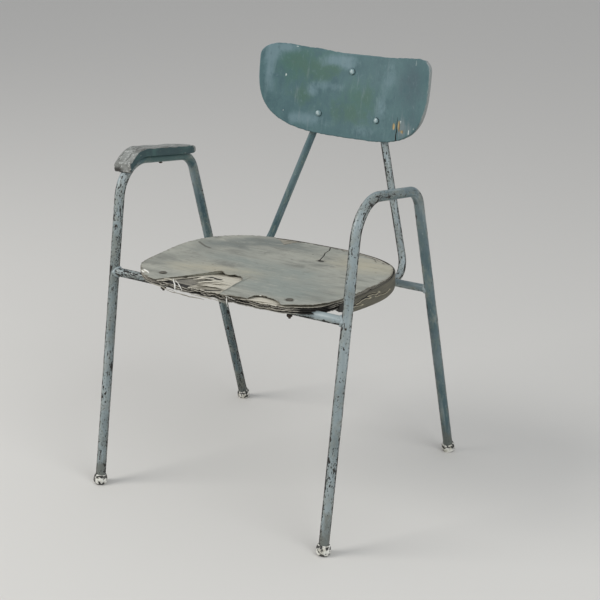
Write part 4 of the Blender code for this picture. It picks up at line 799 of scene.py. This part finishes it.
def splinterPiece(name, slivers, finish, seed):
    # each sliver: a flat diamond section carried along a bowed line, thinning to a point at both ends
    share = numpy.linspace(0, 1, 14)[:, None]
    allPoints, allFaces, allCaps, count = [], [], [], 0
    for k, (start, end, bow, width) in enumerate(slivers):
        start, end = numpy.array(start, float), numpy.array(end, float)
        line = start + (end - start) * share + numpy.array([0, 0, 1.0]) * bow * 4 * share * (1 - share)
        line = line + 0.0006 * numpy.stack([ripple(line + j, 0.012, seed + k) for j in range(3)], -1)
        way = unit(end - start)
        flat = unit(numpy.cross(way, [0.05, 0.1, 1.0]))
        rise = numpy.cross(flat, way)
        slim = width * (0.25 + 0.75 * numpy.sin(math.pi * numpy.clip(share * 0.9 + 0.08, 0, 1)))
        slim = slim * (1 + 0.25 * ripple(line, 0.008, seed + k + 40)[:, None])
        ring = numpy.stack([line + flat * slim / 2, line + rise * slim * 0.22, line - flat * slim / 2,
                            line - rise * slim * 0.22], 1)
        allPoints.append(ring.reshape(-1, 3))
        allFaces.append(gridFaces(14, 4, False, True) + count)
        allCaps += [cap + count for cap in endCaps(14, 4)]
        count += 56
    points = numpy.concatenate(allPoints)
    return addPiece(name, points, numpy.concatenate(allFaces), allCaps, finish,
                    {"fresh": numpy.ones(len(points)), "edge": numpy.zeros(len(points)),
                     "slit": numpy.zeros(len(points))})


splinterPiece("whiteSplinters", [
    ((-0.098, -0.216, 0.462), (-0.078, -0.236, 0.444), 0.002, 0.0022),
    ((-0.090, -0.219, 0.461), (-0.066, -0.232, 0.447), 0.003, 0.0016),
    ((0.0360, -0.232, 0.458), (0.0420, -0.236, 0.437), 0.001, 0.0024),
    ((0.0340, -0.232, 0.457), (0.0560, -0.231, 0.452), 0.001, 0.0018),
    ((-0.190, -0.192, 0.4585), (-0.166, -0.205, 0.4578), 0.0010, 0.0060),
    ((-0.188, -0.199, 0.4568), (-0.170, -0.210, 0.4560), 0.0008, 0.0045)], splinterFinish, 5)
splinterPiece("tornStrips", [
    ((-0.0730, -0.186, 0.4572), (-0.0400, -0.163, 0.4572), 0.0012, 0.0070),
    ((-0.0540, -0.196, 0.4568), (-0.0120, -0.166, 0.4572), 0.0010, 0.0080),
    ((-0.0392, -0.2069, 0.4570), (0.0060, -0.2025, 0.4574), 0.0014, 0.0075),
    ((-0.0280, -0.187, 0.4566), (0.0040, -0.174, 0.4570), 0.0010, 0.0055),
    ((-0.120, -0.2165, 0.4585), (-0.082, -0.2180, 0.4565), 0.0016, 0.0045),
    ((0.070, -0.231, 0.4570), (0.128, -0.219, 0.4570), 0.0012, 0.0055)], creamLeafFinish, 9)
splinterPiece("greyStrips", [
    ((-0.160, -0.224, 0.4490), (-0.080, -0.236, 0.4460), -0.001, 0.0045),
    ((-0.100, -0.236, 0.4440), (-0.010, -0.238, 0.4430), -0.001, 0.0050),
    ((-0.040, -0.238, 0.4480), (0.040, -0.237, 0.4450), 0.001, 0.0040),
    ((0.100, -0.231, 0.4490), (0.170, -0.215, 0.4470), -0.001, 0.0045),
    ((0.120, -0.224, 0.4550), (0.176, -0.204, 0.4530), 0.0015, 0.0050),
    ((0.165, -0.206, 0.4520), (0.214, -0.150, 0.4500), 0.0012, 0.0045),
    ((0.150, -0.214, 0.4560), (0.205, -0.160, 0.4520), 0.001, 0.0050)], greyLeafFinish, 13)
print("seat made")

rim = {"proud": 0.0032, "thick": 0.018, "lip": 0.0056, "fit": 0.0008, "frontRise": 0.018, "riseBehind": 0.060,
       "start": -27.0, "corner": 0.003, "brokenRise": 0.006}
# cracks in the rim: where each starts and ends along it, level, sway, width, seed
rimCracks = ((0.030, 0.115, 0.40, 0.10, 0.055, 1), (0.060, 0.150, 0.28, 0.07, 0.045, 2),
             (0.020, 0.085, 0.62, 0.06, 0.040, 3),
             (0.120, 0.200, 0.55, 0.05, 0.030, 4), (0.300, 0.420, 0.45, 0.06, 0.030, 5),
             (0.520, 0.600, 0.50, 0.06, 0.030, 6))


def addRim():
    # the section (lip, outer face, lower edge, inner face) carried round the seat's outline; cracks sink it
    turn = numpy.radians(numpy.linspace(rim["start"], 180 - rim["start"], 420))
    outer = seatReach(turn) + rim["proud"]
    inner = outer - rim["thick"]
    lip = seatReach(turn) + rim["fit"]
    barTop = tubes["rearBarHeight"] + tubes["rearBar"] / 2 + 0.0003
    run = rim["riseBehind"] - (outer * numpy.sin(turn)).min()
    along = numpy.concatenate([[0], numpy.cumsum(numpy.hypot(numpy.diff(outer * numpy.cos(turn)),
                                                             numpy.diff(outer * numpy.sin(turn))))])

    def heights(radius):
        # underside of the panel there, and the rim's own lower edge, which rises to the front
        x, y = radius * numpy.cos(turn), seat["middleY"] + radius * numpy.sin(turn)
        ahead = numpy.clip((seat["middleY"] + rim["riseBehind"] - y) / run, 0, 1)
        broken = rim["brokenRise"] * smooth(-numpy.degrees(turn), 21, 27)
        return seatUnder(x, y), barTop + rim["frontRise"] * ahead ** 1.5 + broken

    under, low = heights(outer)
    rows = []          # (radius, height) of each line of the section, for every angle
    for share in numpy.linspace(0, 1, 34):
        high = under + rim["lip"]
        rounding = numpy.clip((share - 0.88) / 0.12, 0, 1)
        rows.append((outer - rim["corner"] * (1 - numpy.sqrt(1 - rounding ** 2)) * 0.9, high + (low - high) * share))
    for share in numpy.linspace(0.1, 1, 8):
        rows.append((outer - 0.003 + (inner + 0.003 - outer) * share, low + 0 * low))
    innerUnder = heights(inner)[0]
    for share in numpy.linspace(0.15, 1, 7):
        rows.append((inner, low + 0.001 + (innerUnder - 0.0003 - low - 0.001) * share))
    lipUnder = heights(lip)[0]
    rows += [(inner + (lip - inner) * 0.5, (innerUnder + lipUnder) / 2 - 0.0003), (lip, lipUnder - 0.0003),
             (lip, lipUnder + rim["lip"])]
    radius = numpy.stack([r for r, _ in rows], 1)
    height = numpy.stack([z for _, z in rows], 1)
    level = numpy.arange(34) / 33
    s = along[:, None]
    crack = numpy.zeros_like(radius)
    for begin, end, place, sway, wide, seed in rimCracks:
        line = place + sway * numpy.sin((s - begin) * 70 + seed) + 0.02 * ripple(s, 0.02, seed + 80)[:, None]
        window = smooth(s, begin, begin + 0.015) * smooth(-s, -end, -end + 0.02)
        crack[:, :34] = numpy.maximum(crack[:, :34], numpy.exp(-((level - line) / wide) ** 2) * window)
    radius = radius - 0.0020 * crack
    x, y = radius * numpy.cos(turn)[:, None], seat["middleY"] + radius * numpy.sin(turn)[:, None]
    space = numpy.stack([s + 0 * height, height, radius * 0.3], -1)
    # painted shade: darker along the top few mm under the seat's overhanging edge, near black over the rim's front end
    # in the hollow under the leaves
    dirt = 0.5 * smooth(height - (under[:, None] + 0.002), 0, 0.004) + 0.95 * smooth(-s, -0.050, -0.012) + 0 * height
    rowsCount, columns = radius.shape
    addPiece("rimBand", numpy.stack([x, y, height], -1), gridFaces(rowsCount, columns, False, True),
             endCaps(rowsCount, columns), rimFinish,
             {"bandSpace": space, "crack": crack, "dirt": numpy.clip(dirt, 0, 1)}, "seat_rim")


addRim()
print("rim made")

back = {"thick": 0.0075, "curve": 0.460, "halfWidth": 0.2012, "topReach": 0.0428, "bottomReach": 0.1432, "skew": 0.008,
        "middle": 0.005, "topPower": 4.7, "rightTopPower": 4.0, "bottomPower": 3.2, "dip": 0.0125, "dipHalf": 0.170,
        "round": 0.0024, "boltDrop": 0.0935, "split": (0.1245, -0.1455, -0.0790)}
hoopUp = unit(numpy.array([0, hoop["lean"], 1]))
hoopHalf = math.atan(hoop["halfWidth"] / ((apexZ - hoop["lowZ"]) / hoopUp[2]))
hoopTop = numpy.array([0, hoop["lowY"] + hoop["lean"] * (apexZ - hoop["lowZ"]), apexZ])
hoopTop = hoopTop - hoopUp * hoop["topBend"] * (1 / math.sin(hoopHalf) - 1)
toTube = back["thick"] + 0.0003 + tubes["hoop"] / 2
sideHeight = hoopTop[2] - back["boltDrop"] * hoopUp[2]
boltLean = math.asin((hoop["halfWidth"] - hoop["drawIn"] * (sideHeight - hoop["lowZ"])) / (back["curve"] + toTube))
boltAhead = (back["curve"] + toTube) * (1 - math.cos(boltLean))
backAngle = math.atan(hoop["lean"]) - math.asin(boltAhead / back["boltDrop"])
backUp = numpy.array([0, math.sin(backAngle), math.cos(backAngle)])
backOut = numpy.array([0, -math.cos(backAngle), math.sin(backAngle)])
backPlace = hoopTop + backOut * toTube
# how far the top edge lies above or below its even line: where across in metres, and by how many mm, as measured
# column by column on the photo's edge, and a little lower at the chair's right to stay inside the CAD box
backTopLine = ((-0.200, -0.185, -0.170, -0.155, -0.135, -0.116, -0.098, -0.079, -0.041, -0.022, 0.0, 0.034, 0.053,
                0.072, 0.091, 0.109, 0.128, 0.147, 0.166, 0.185, 0.200),
               (0.5, 2.2, 3.1, 1.6, -0.8, -2.0, -1.3, 0.3, 0.0, 0.9, 1.3, 1.2, -0.8, -2.6, -4.1, -4.9, -4.8, -3.4,
                -0.7, 2.2, 1.0))
# patches on the back's front face, each: where across, where up, how wide, how tall, how strong
backPatches = {
    "green": ((-0.130, 0.004, 0.048, 0.040, 1), (0.020, -0.060, 0.055, 0.040, 1), (-0.06, 0.02, 0.04, 0.03, 0.5)),
    "moss": ((-0.079, -0.009, 0.034, 0.022, 1), (-0.050, 0.001, 0.024, 0.018, 1), (-0.107, -0.060, 0.026, 0.022, 1),
             (-0.120, 0.010, 0.03, 0.02, 0.8),
             (-0.004, -0.086, 0.048, 0.026, 1), (0.039, -0.047, 0.020, 0.020, 0.8)),
    "pale": ((-0.178, 0.022, 0.018, 0.020, 1), (-0.150, 0.038, 0.028, 0.010, 1), (-0.181, -0.022, 0.010, 0.036, 1),
             (-0.034, 0.020, 0.040, 0.012, 1), (-0.006, 0.018, 0.014, 0.013, 1.1), (-0.086, -0.047, 0.015, 0.015, 0.9),
             (-0.045, -0.034, 0.036, 0.011, 0.75), (0.079, -0.066, 0.016, 0.030, 0.7),
             (-0.092, -0.108, 0.045, 0.014, 0.7),
             (0.033, -0.121, 0.03, 0.012, 0.6), (-0.126, -0.111, 0.014, 0.010, 0.6), (0.095, 0.0, 0.02, 0.03, 0.5)),
    "slate": ((0.150, -0.010, 0.040, 0.045, 1), (0.165, -0.09, 0.03, 0.03, 0.5), (0.014, 0.012, 0.006, 0.016, 0.6)),
    "worn": ((0.1380, -0.102, 0.012, 0.022, 1), (0.158, -0.104, 0.016, 0.022, 0.8), (0.118, -0.115, 0.006, 0.02, 0.5)),
    "nick": ((-0.1467, -0.0195, 0.0022, 0.0050, 1), (-0.147, -0.0954, 0.0022, 0.0022, 1),
             (0.1607, 0.0323, 0.0012, 0.0085, 1),
             (0.0142, 0.033, 0.0040, 0.0022, 1), (0.158, -0.1066, 0.0020, 0.0090, 1),
             (0.1340, -0.088, 0.0016, 0.0050, 1),
             (0.171, -0.098, 0.0014, 0.004, 1), (-0.128, 0.041, 0.006, 0.0010, 0.7),
             (-0.060, 0.032, 0.004, 0.0008, 0.7)),
    "bare": ((0.1172, -0.100, 0.0042, 0.0105, 1.1), (0.1300, -0.096, 0.0036, 0.0135, 1.1),
             (0.140, -0.108, 0.006, 0.006, 0.8),
             (0.124, -0.135, 0.02, 0.006, 1))}


def onBack(x, z, depth):
    # point of the curved back: x round the bend, z up it, depth behind its front face
    lean = numpy.arcsin(numpy.clip(x / back["curve"], -1, 1))
    radius = back["curve"] + depth
    across, sag = radius * numpy.sin(lean), radius * numpy.cos(lean) - back["curve"]
    return (backPlace + across[..., None] * numpy.array([1.0, 0, 0]) - sag[..., None] * backOut + z[..., None] * backUp)


def addBack():
    # rings of the outline drawn in towards its middle, over the front face, round the edge and over the rear face
    turn = numpy.linspace(-math.pi, math.pi, 560, endpoint=False) + 0.004
    upper = numpy.sin(turn) > 0
    topPower = numpy.where(numpy.cos(turn) < 0, back["rightTopPower"], back["topPower"])
    power = numpy.where(upper, topPower, back["bottomPower"])
    tall = numpy.where(upper, back["topReach"], back["bottomReach"])
    outX = back["halfWidth"] * numpy.sign(numpy.cos(turn)) * numpy.abs(numpy.cos(turn)) ** (2 / power)
    outZ = tall * numpy.sign(numpy.sin(turn)) * numpy.abs(numpy.sin(turn)) ** (2 / power)
    near = numpy.clip(outX / back["dipHalf"], -1, 1)
    uneven = numpy.interp(outX, *backTopLine) / 1000 - back["dip"] * numpy.cos(near * math.pi / 2) ** 2
    outZ = outZ + numpy.where(upper, uneven * outZ / tall, 0)
    outZ = back["middle"] + outZ - back["skew"] * outX
    rough = 0.0004 * ripple(numpy.stack([outX, outZ], -1), 0.012, 91)
    size = numpy.hypot(outX, outZ)
    inward = numpy.concatenate([numpy.linspace(0.02, 0.93, 66), 1 - 0.07 * (1 - numpy.linspace(0, 1, 14)[1:]) ** 1.6])
    rows = []          # share of the outline and depth behind the front face
    for share in inward:
        away = numpy.clip(back["round"] - (1 - share) * size, 0, None)
        rows.append((share + 0 * size, back["round"] - numpy.sqrt(back["round"] ** 2 - away ** 2)))
    for level in numpy.linspace(0.36, 0.64, 5):
        rows.append((1 + 0 * size, back["thick"] * level + 0 * size))
    rows += [(share, back["thick"] - drop) for share, drop in rows[:len(inward)][::-1]]
    share = numpy.stack([a for a, _ in rows], 1)
    depth = numpy.stack([d for _, d in rows], 1)
    x = outX[:, None] * share
    z = outZ[:, None] * share + rough[:, None] * share ** 8
    wavy = 0.0003 * ripple(numpy.stack([x, z], -1), 0.09, 92)
    frontSide = (depth < back["thick"] * 0.5).astype(float)
    values = {name: (frontSide * sum(blob(x, z, a, b, wide, high) * most
                                     for a, b, wide, high, most in marks)).clip(0, 1)
              for name, marks in backPatches.items()}
    values["green"] += 0.7 * (1 - frontSide) * smooth(ripple(numpy.stack([x, z], -1), 0.12, 93), -0.2, 0.6)
    rimNear = numpy.clip(1 - (1 - share) * size[:, None] / 0.004, 0, 1)
    values["edge"] = rimNear * (0.35 + 0.65 * smooth(x, 0.16, 0.19)) + 0.3 * rimNear * (1 - frontSide)
    values["sheetSpace"] = numpy.stack([x, z, depth * 3 + 5 * (1 - frontSide)], -1)
    rowsCount, columns = x.shape
    piece = addPiece("backBoard", onBack(x, z, depth + wavy), gridFaces(rowsCount, columns, True, False),
                     poleCaps(rowsCount, columns), backFinish, values, "backrest")
    # the split: a narrow wedge from the lower edge, closing at its top, cut through from the front; its walls are
    # weathered wood drawn near black as painted shade inside the crack
    middle, bottom, top = back["split"]
    up = numpy.linspace(0, 1, 8)
    wide = 0.0017 * (1 - up) ** 0.7 + 0.0002
    lineX = middle + 0.0005 * ripple(up[:, None], 0.3, 94) + 0.0006 * up
    wedgeX = numpy.concatenate([lineX - wide, (lineX + wide)[::-1]])
    wedgeZ = numpy.concatenate([bottom + (top - bottom) * up, (bottom + (top - bottom) * up)[::-1]])
    cutAway(piece, numpy.stack([onBack(wedgeX, wedgeZ, numpy.full(16, deep)) for deep in (-0.004, 0.014)]), splitShadeFinish)


addBack()
print("backrest made")


def turnedPiece(name, profile, place, axis, finish, values, node, sides=40, unevenness=0.0, seed=1):
    # (radius, height) line turned round an axis: place + radius * (cos * side + sin * over) + height * axis
    axis = unit(numpy.array(axis, float))
    across = unit(numpy.cross(axis, [0.3, 0.9, 0.31]))
    over = numpy.cross(axis, across)
    turn = numpy.linspace(0, 2 * math.pi, sides, endpoint=False)[:, None, None]
    radius, height = (numpy.array([p[k] for p in profile])[None, :, None] for k in (0, 1))
    out = numpy.cos(turn) * across + numpy.sin(turn) * over
    points = place + radius * out + height * axis
    points = points + unevenness * ripple(points, 0.007, seed)[..., None] * out * (radius > 0.004)
    points[..., 2] = numpy.clip(points[..., 2], 0, None)          # a cap is worn flat where it stands
    rows, columns = points.shape[:2]
    filled = {key: numpy.broadcast_to(numpy.array(value)[None, :], (rows, columns)) for key, value in values.items()}
    return addPiece(name, points, gridFaces(rows, columns, True, False), poleCaps(rows, columns), finish,
                    filled, node)


def boltPieces():
    # round heads on the back's front face, each square to the bend there
    bolt = {"shank": 0.005, "head": 0.0130, "dome": 0.0034, "spare": 0.004, "seat": 0.0004, "nut": 0.004}
    length = back["thick"] + tubes["hoop"] + bolt["nut"] + bolt["spare"]
    turns = numpy.radians(numpy.linspace(88, 8, 12))
    dome = [(bolt["head"] / 2 * math.cos(a), bolt["dome"] * (0.18 + 0.82 * math.sin(a))) for a in turns]
    profile = [(0.0003, bolt["dome"])] + dome + [(bolt["head"] / 2, 0.0), (bolt["shank"] / 2, 0.0),
                                                (bolt["shank"] / 2, -length + 0.0006), (0.0019, -length),
                                                (0.0003, -length)]
    crown = [1.0] + numpy.sin(turns).tolist() + [0, 0, 0, 0, 0]
    height = -math.sqrt(back["boltDrop"] ** 2 - boltAhead ** 2)
    for name, lean, z in (("top", 0.0, 0.0), ("right", -boltLean, height), ("left", boltLean, height)):
        x = numpy.array(back["curve"] * math.sin(lean))
        face = onBack(x, numpy.array(z), numpy.array(0.0))
        deeper = onBack(x, numpy.array(z), numpy.array(0.01))
        turnedPiece("backBolt" + name.capitalize(), profile, face + unit(face - deeper) * bolt["seat"], face - deeper,
                    boltFinish, {"crown": crown}, "back_bolt_" + name)


boltPieces()


def footCap(hand, side, front, seed):
    # cup round the tube's end with a bulging wall, its top tapered onto the tube, worn flat on the floor
    cap = {"radius": 0.0140, "bore": 0.0103, "deep": 0.014, "floor": 0.0062, "sides": 48, "uneven": 0.00015}
    outer, deep = cap["radius"], cap["deep"]
    profile = [(0.0005, -0.0003), (cap["bore"], -0.0003), (cap["bore"], deep), (outer - 0.0029, deep),
               (outer - 0.0021, deep - 0.0012), (outer - 0.0013, deep - 0.0032), (outer - 0.0006, deep - 0.0056),
               (outer - 0.0002, deep - 0.0082), (outer, deep - 0.0110), (outer, 0.0012), (outer * 0.99, -0.0006),
               (outer * 0.96, -0.0024), (outer * 0.89, -0.0042), (outer * 0.78, -0.0058), (outer * 0.45, -0.0074),
               (0.0005, -0.0080)]
    height = numpy.array([p[1] for p in profile])
    dirt = (0.42 + 0.5 * smooth(height, deep - 0.009, deep - 0.003) * smooth(-height, -deep, -deep + 0.003)
            + 0.5 * smooth(-height, 0.002, 0.006)).tolist()
    place = numpy.array([side * tubes["halfWidth"], legY(cap["floor"], front), cap["floor"]])
    turnedPiece(("front" if front else "rear") + hand + "Cap", profile, place, (0, legY(1, front) - legY(0, front), 1),
                capFinish, {"dirt": dirt}, f"foot_cap_{'front' if front else 'rear'}_{hand.lower()}",
                cap["sides"], cap["uneven"], seed)


for side, hand in ((-1, "Right"), (1, "Left")):
    footCap(hand, side, True, 101 + side)
    footCap(hand, side, False, 111 + side)

for node in ("seat_bolt_left", "seat_bolt_right", "seat_nut_left", "seat_nut_right", "back_nut_left", "back_nut_right",
             "back_nut_top", "rim_screw_left", "rim_screw_right", "armrest_screw"):
    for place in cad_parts[node].material_slots:
        place.material = seatBoltFinish if "seat_bolt" in node else rustFinish
print("fixings made")

arm = {"width": 0.041, "thick": 0.0172, "low": 0.0066, "frontY": -0.148, "bendY": -0.0915, "bend": 0.051,
       "taperY": 0.005, "rearY": 0.072, "rearShare": 0.42, "rearRound": 0.020, "edge": 0.0028, "farEdge": 0.0060}
# checks in the arm's top: where across, where each starts and ends, width, seed
armChecks = ((-0.262, -0.150, -0.06, 0.0009, 1), (-0.272, -0.12, 0.02, 0.0008, 2), (-0.281, -0.150, -0.03, 0.0008, 3),
             (-0.256, -0.05, 0.04, 0.0007, 4))


def addArm():
    # upright sections along the arm: a rounded slab, its far side drawn in to the rear, split along the grain
    y = numpy.concatenate([numpy.linspace(arm["frontY"], arm["bendY"], 50),
                           numpy.linspace(arm["bendY"], arm["taperY"], 60)[1:],
                           arm["taperY"]
                           + (arm["rearY"] - arm["taperY"]) * numpy.sin(numpy.linspace(0, math.pi / 2, 60))[1:]])
    slopeY, slopeZ = (tubes["rearCorner"][k] - tubes["frontCorner"][k] for k in (0, 1))
    centre = tubes["frontCorner"][1] + slopeZ * (y - tubes["frontCorner"][0]) / slopeY
    lowLine = centre + arm["low"] - numpy.clip(arm["bendY"] - y, 0, None) ** 2 / (2 * arm["bend"])
    share = numpy.clip((y - arm["taperY"]) / (arm["rearY"] - arm["taperY"]), 0, 1)
    end = numpy.clip((y - arm["rearY"] + arm["rearRound"]) / arm["rearRound"], 0, 1)
    bulge = numpy.sqrt(1 - 0.75 * end ** 2)
    low, high = lowLine + arm["thick"] * (1 - bulge) / 2, lowLine + arm["thick"] * (1 + bulge) / 2
    inner = -tubes["halfWidth"] + arm["width"] / 2 - 0.004 * end ** 2
    outer = inner - arm["width"] * (1 - (1 - arm["rearShare"]) * share ** 1.6) + 0.004 * end ** 2
    edge, farEdge = arm["edge"] * bulge, arm["farEdge"] * bulge
    # section: inner side up, over the top, outer side down, then back under
    corner = numpy.radians(numpy.linspace(0, 90, 7))
    parts = [(inner, low + (high - edge - low) * k) for k in numpy.linspace(0.02, 0.9, 7)]
    parts += [(inner - edge * (1 - math.cos(a)), high - edge * (1 - math.sin(a))) for a in corner]
    parts += [(inner - edge + (outer + farEdge - inner + edge) * k, high) for k in numpy.linspace(0.04, 0.96, 22)]
    parts += [(outer + farEdge * (1 - math.cos(a)), high - farEdge * (1 - math.sin(a))) for a in corner[::-1]]
    parts += [(outer, low + (high - farEdge - low) * k) for k in numpy.linspace(0.9, 0.1, 6)]
    parts += [(outer + (inner - outer) * k, low) for k in numpy.linspace(0.03, 0.97, 16)]
    x = numpy.stack([a + 0 * y for a, _ in parts], 1)
    z = numpy.stack([b + 0 * y for _, b in parts], 1)
    yy = y[:, None] + 0 * x
    top = smooth(z - (high - 0.003)[:, None], 0, 0.0025)
    check = numpy.zeros_like(x)
    for place, begin, finish, wide, seed in armChecks:
        line = place + 0.0012 * ripple(yy[..., None], 0.03, seed + 60)
        window = smooth(yy, begin, begin + 0.01) * smooth(-yy, -finish, -finish + 0.02)
        check = numpy.maximum(check, numpy.exp(-((x - line) / wide) ** 2) * window)
    chip = blob(x, yy, -0.288, -0.022, 0.006, 0.010) * top
    z = z - 0.0010 * check * top - 0.0035 * chip + 0.00025 * top * ripple(numpy.stack([x * 3, yy * 0.4], -1), 0.02, 77)
    frontEnd = numpy.clip(1 - (yy - arm["frontY"]) / 0.008, 0, 1)
    yy = yy + frontEnd * (0.0013 * ripple(numpy.stack([x, z], -1), 0.008, 78) - 0.0005)
    insideFace = smooth(x, -0.2495, -0.2480)
    underneath = smooth((low + 0.002)[:, None] - z, 0, 0.001)
    border = smooth(z - (high - 0.0022 + 0.0006 * ripple(y[:, None], 0.02, 79))[:, None], 0, 0.0008)
    paint = numpy.clip(insideFace * (1 - border) + underneath + 0.8 * smooth(-x, 0.2870, 0.2882) * (1 - border), 0, 1)
    paint = paint * (1 - 0.7 * smooth(-yy, 0.1455, 0.1475))
    ragged = frontEnd * smooth((low + 0.0028 + 0.0012 * ripple(y[:, None], 0.004, 80))[:, None] - z, 0, 0.0015)
    rows, columns = x.shape
    addPiece("armPad", numpy.stack([x, yy, z], -1), gridFaces(rows, columns, False, True), endCaps(rows, columns),
             armFinish, {"paint": paint, "check": numpy.clip(check * top + 0.6 * chip + ragged, 0, 1),
                                       "brown": numpy.clip(chip * 1.2, 0, 1)}, "armrest")


addArm()
print("armrest made")


def addStage():
    # a wide flat floor that takes the shadow
    mesh = bpy.data.meshes.new("floor")
    mesh.from_pydata([(-30, -30, 0), (30, -30, 0), (30, 60, 0), (-30, 60, 0)], [], [(0, 1, 2, 3)])
    floor = bpy.data.objects.new("floor", mesh)
    bpy.context.scene.collection.objects.link(floor)
    material, tree, shader = newFinish("paleFloor", 0.9)
    shader.inputs["Base Color"].default_value = toLinear("CFCDC8")
    shader.inputs["Specular IOR Level"].default_value = 0.2
    mesh.materials.append(material)


def addLamp(name, place, aim, size, power, colour):
    # round soft lamp, its back turned away from the aim
    light = bpy.data.lights.new(name, 'AREA')
    light.shape = 'DISK'
    light.size = size
    light.energy = power
    light.color = colour
    lamp = bpy.data.objects.new(name, light)
    bpy.context.scene.collection.objects.link(lamp)
    back = unit(numpy.array(place, float) - numpy.array(aim, float))
    right = unit(numpy.cross([0, 0, 1], back))
    up = numpy.cross(back, right)
    lamp.matrix_world = Matrix([[right[k], up[k], back[k], place[k]] for k in range(3)] + [[0, 0, 0, 1]])


addStage()
addLamp("windowLeft", (-2.6, -2.4, 3.0), (0, 0, 0.4), 2.2, 101, (1.0, 0.99, 0.97))
addLamp("windowRight", (2.8, -1.2, 2.6), (0, 0, 0.4), 2.4, 46, (0.95, 0.98, 1.0))
world = bpy.context.scene.world or bpy.data.worlds.new("studio")
bpy.context.scene.world = world
world.use_nodes = True
backdrop = world.node_tree.nodes["Background"]
backdrop.inputs["Color"].default_value = toLinear("D4D6DA")
backdrop.inputs["Strength"].default_value = 0.84

view = {"place": (1.4214, -2.1781, 1.305), "yaw": 32.1622, "pitch": 19.7336, "roll": 0.1133, "lens": 82.0994}
camera = bpy.data.objects.new("camera", bpy.data.cameras.new("camera"))
bpy.context.scene.collection.objects.link(camera)
camera.data.sensor_width = 36
camera.data.lens = view["lens"]
camera.data.clip_end = 200
turn = (Matrix.Rotation(math.radians(view["yaw"]), 4, 'Z') @ Matrix.Rotation(math.radians(90 - view["pitch"]), 4, 'X')
        @ Matrix.Rotation(math.radians(view["roll"]), 4, 'Z'))
camera.matrix_world = Matrix.Translation(numpy.array(view["place"]) + chairMiddle) @ turn
bpy.context.scene.camera = camera
bpy.context.scene.view_settings.view_transform = 'Standard'
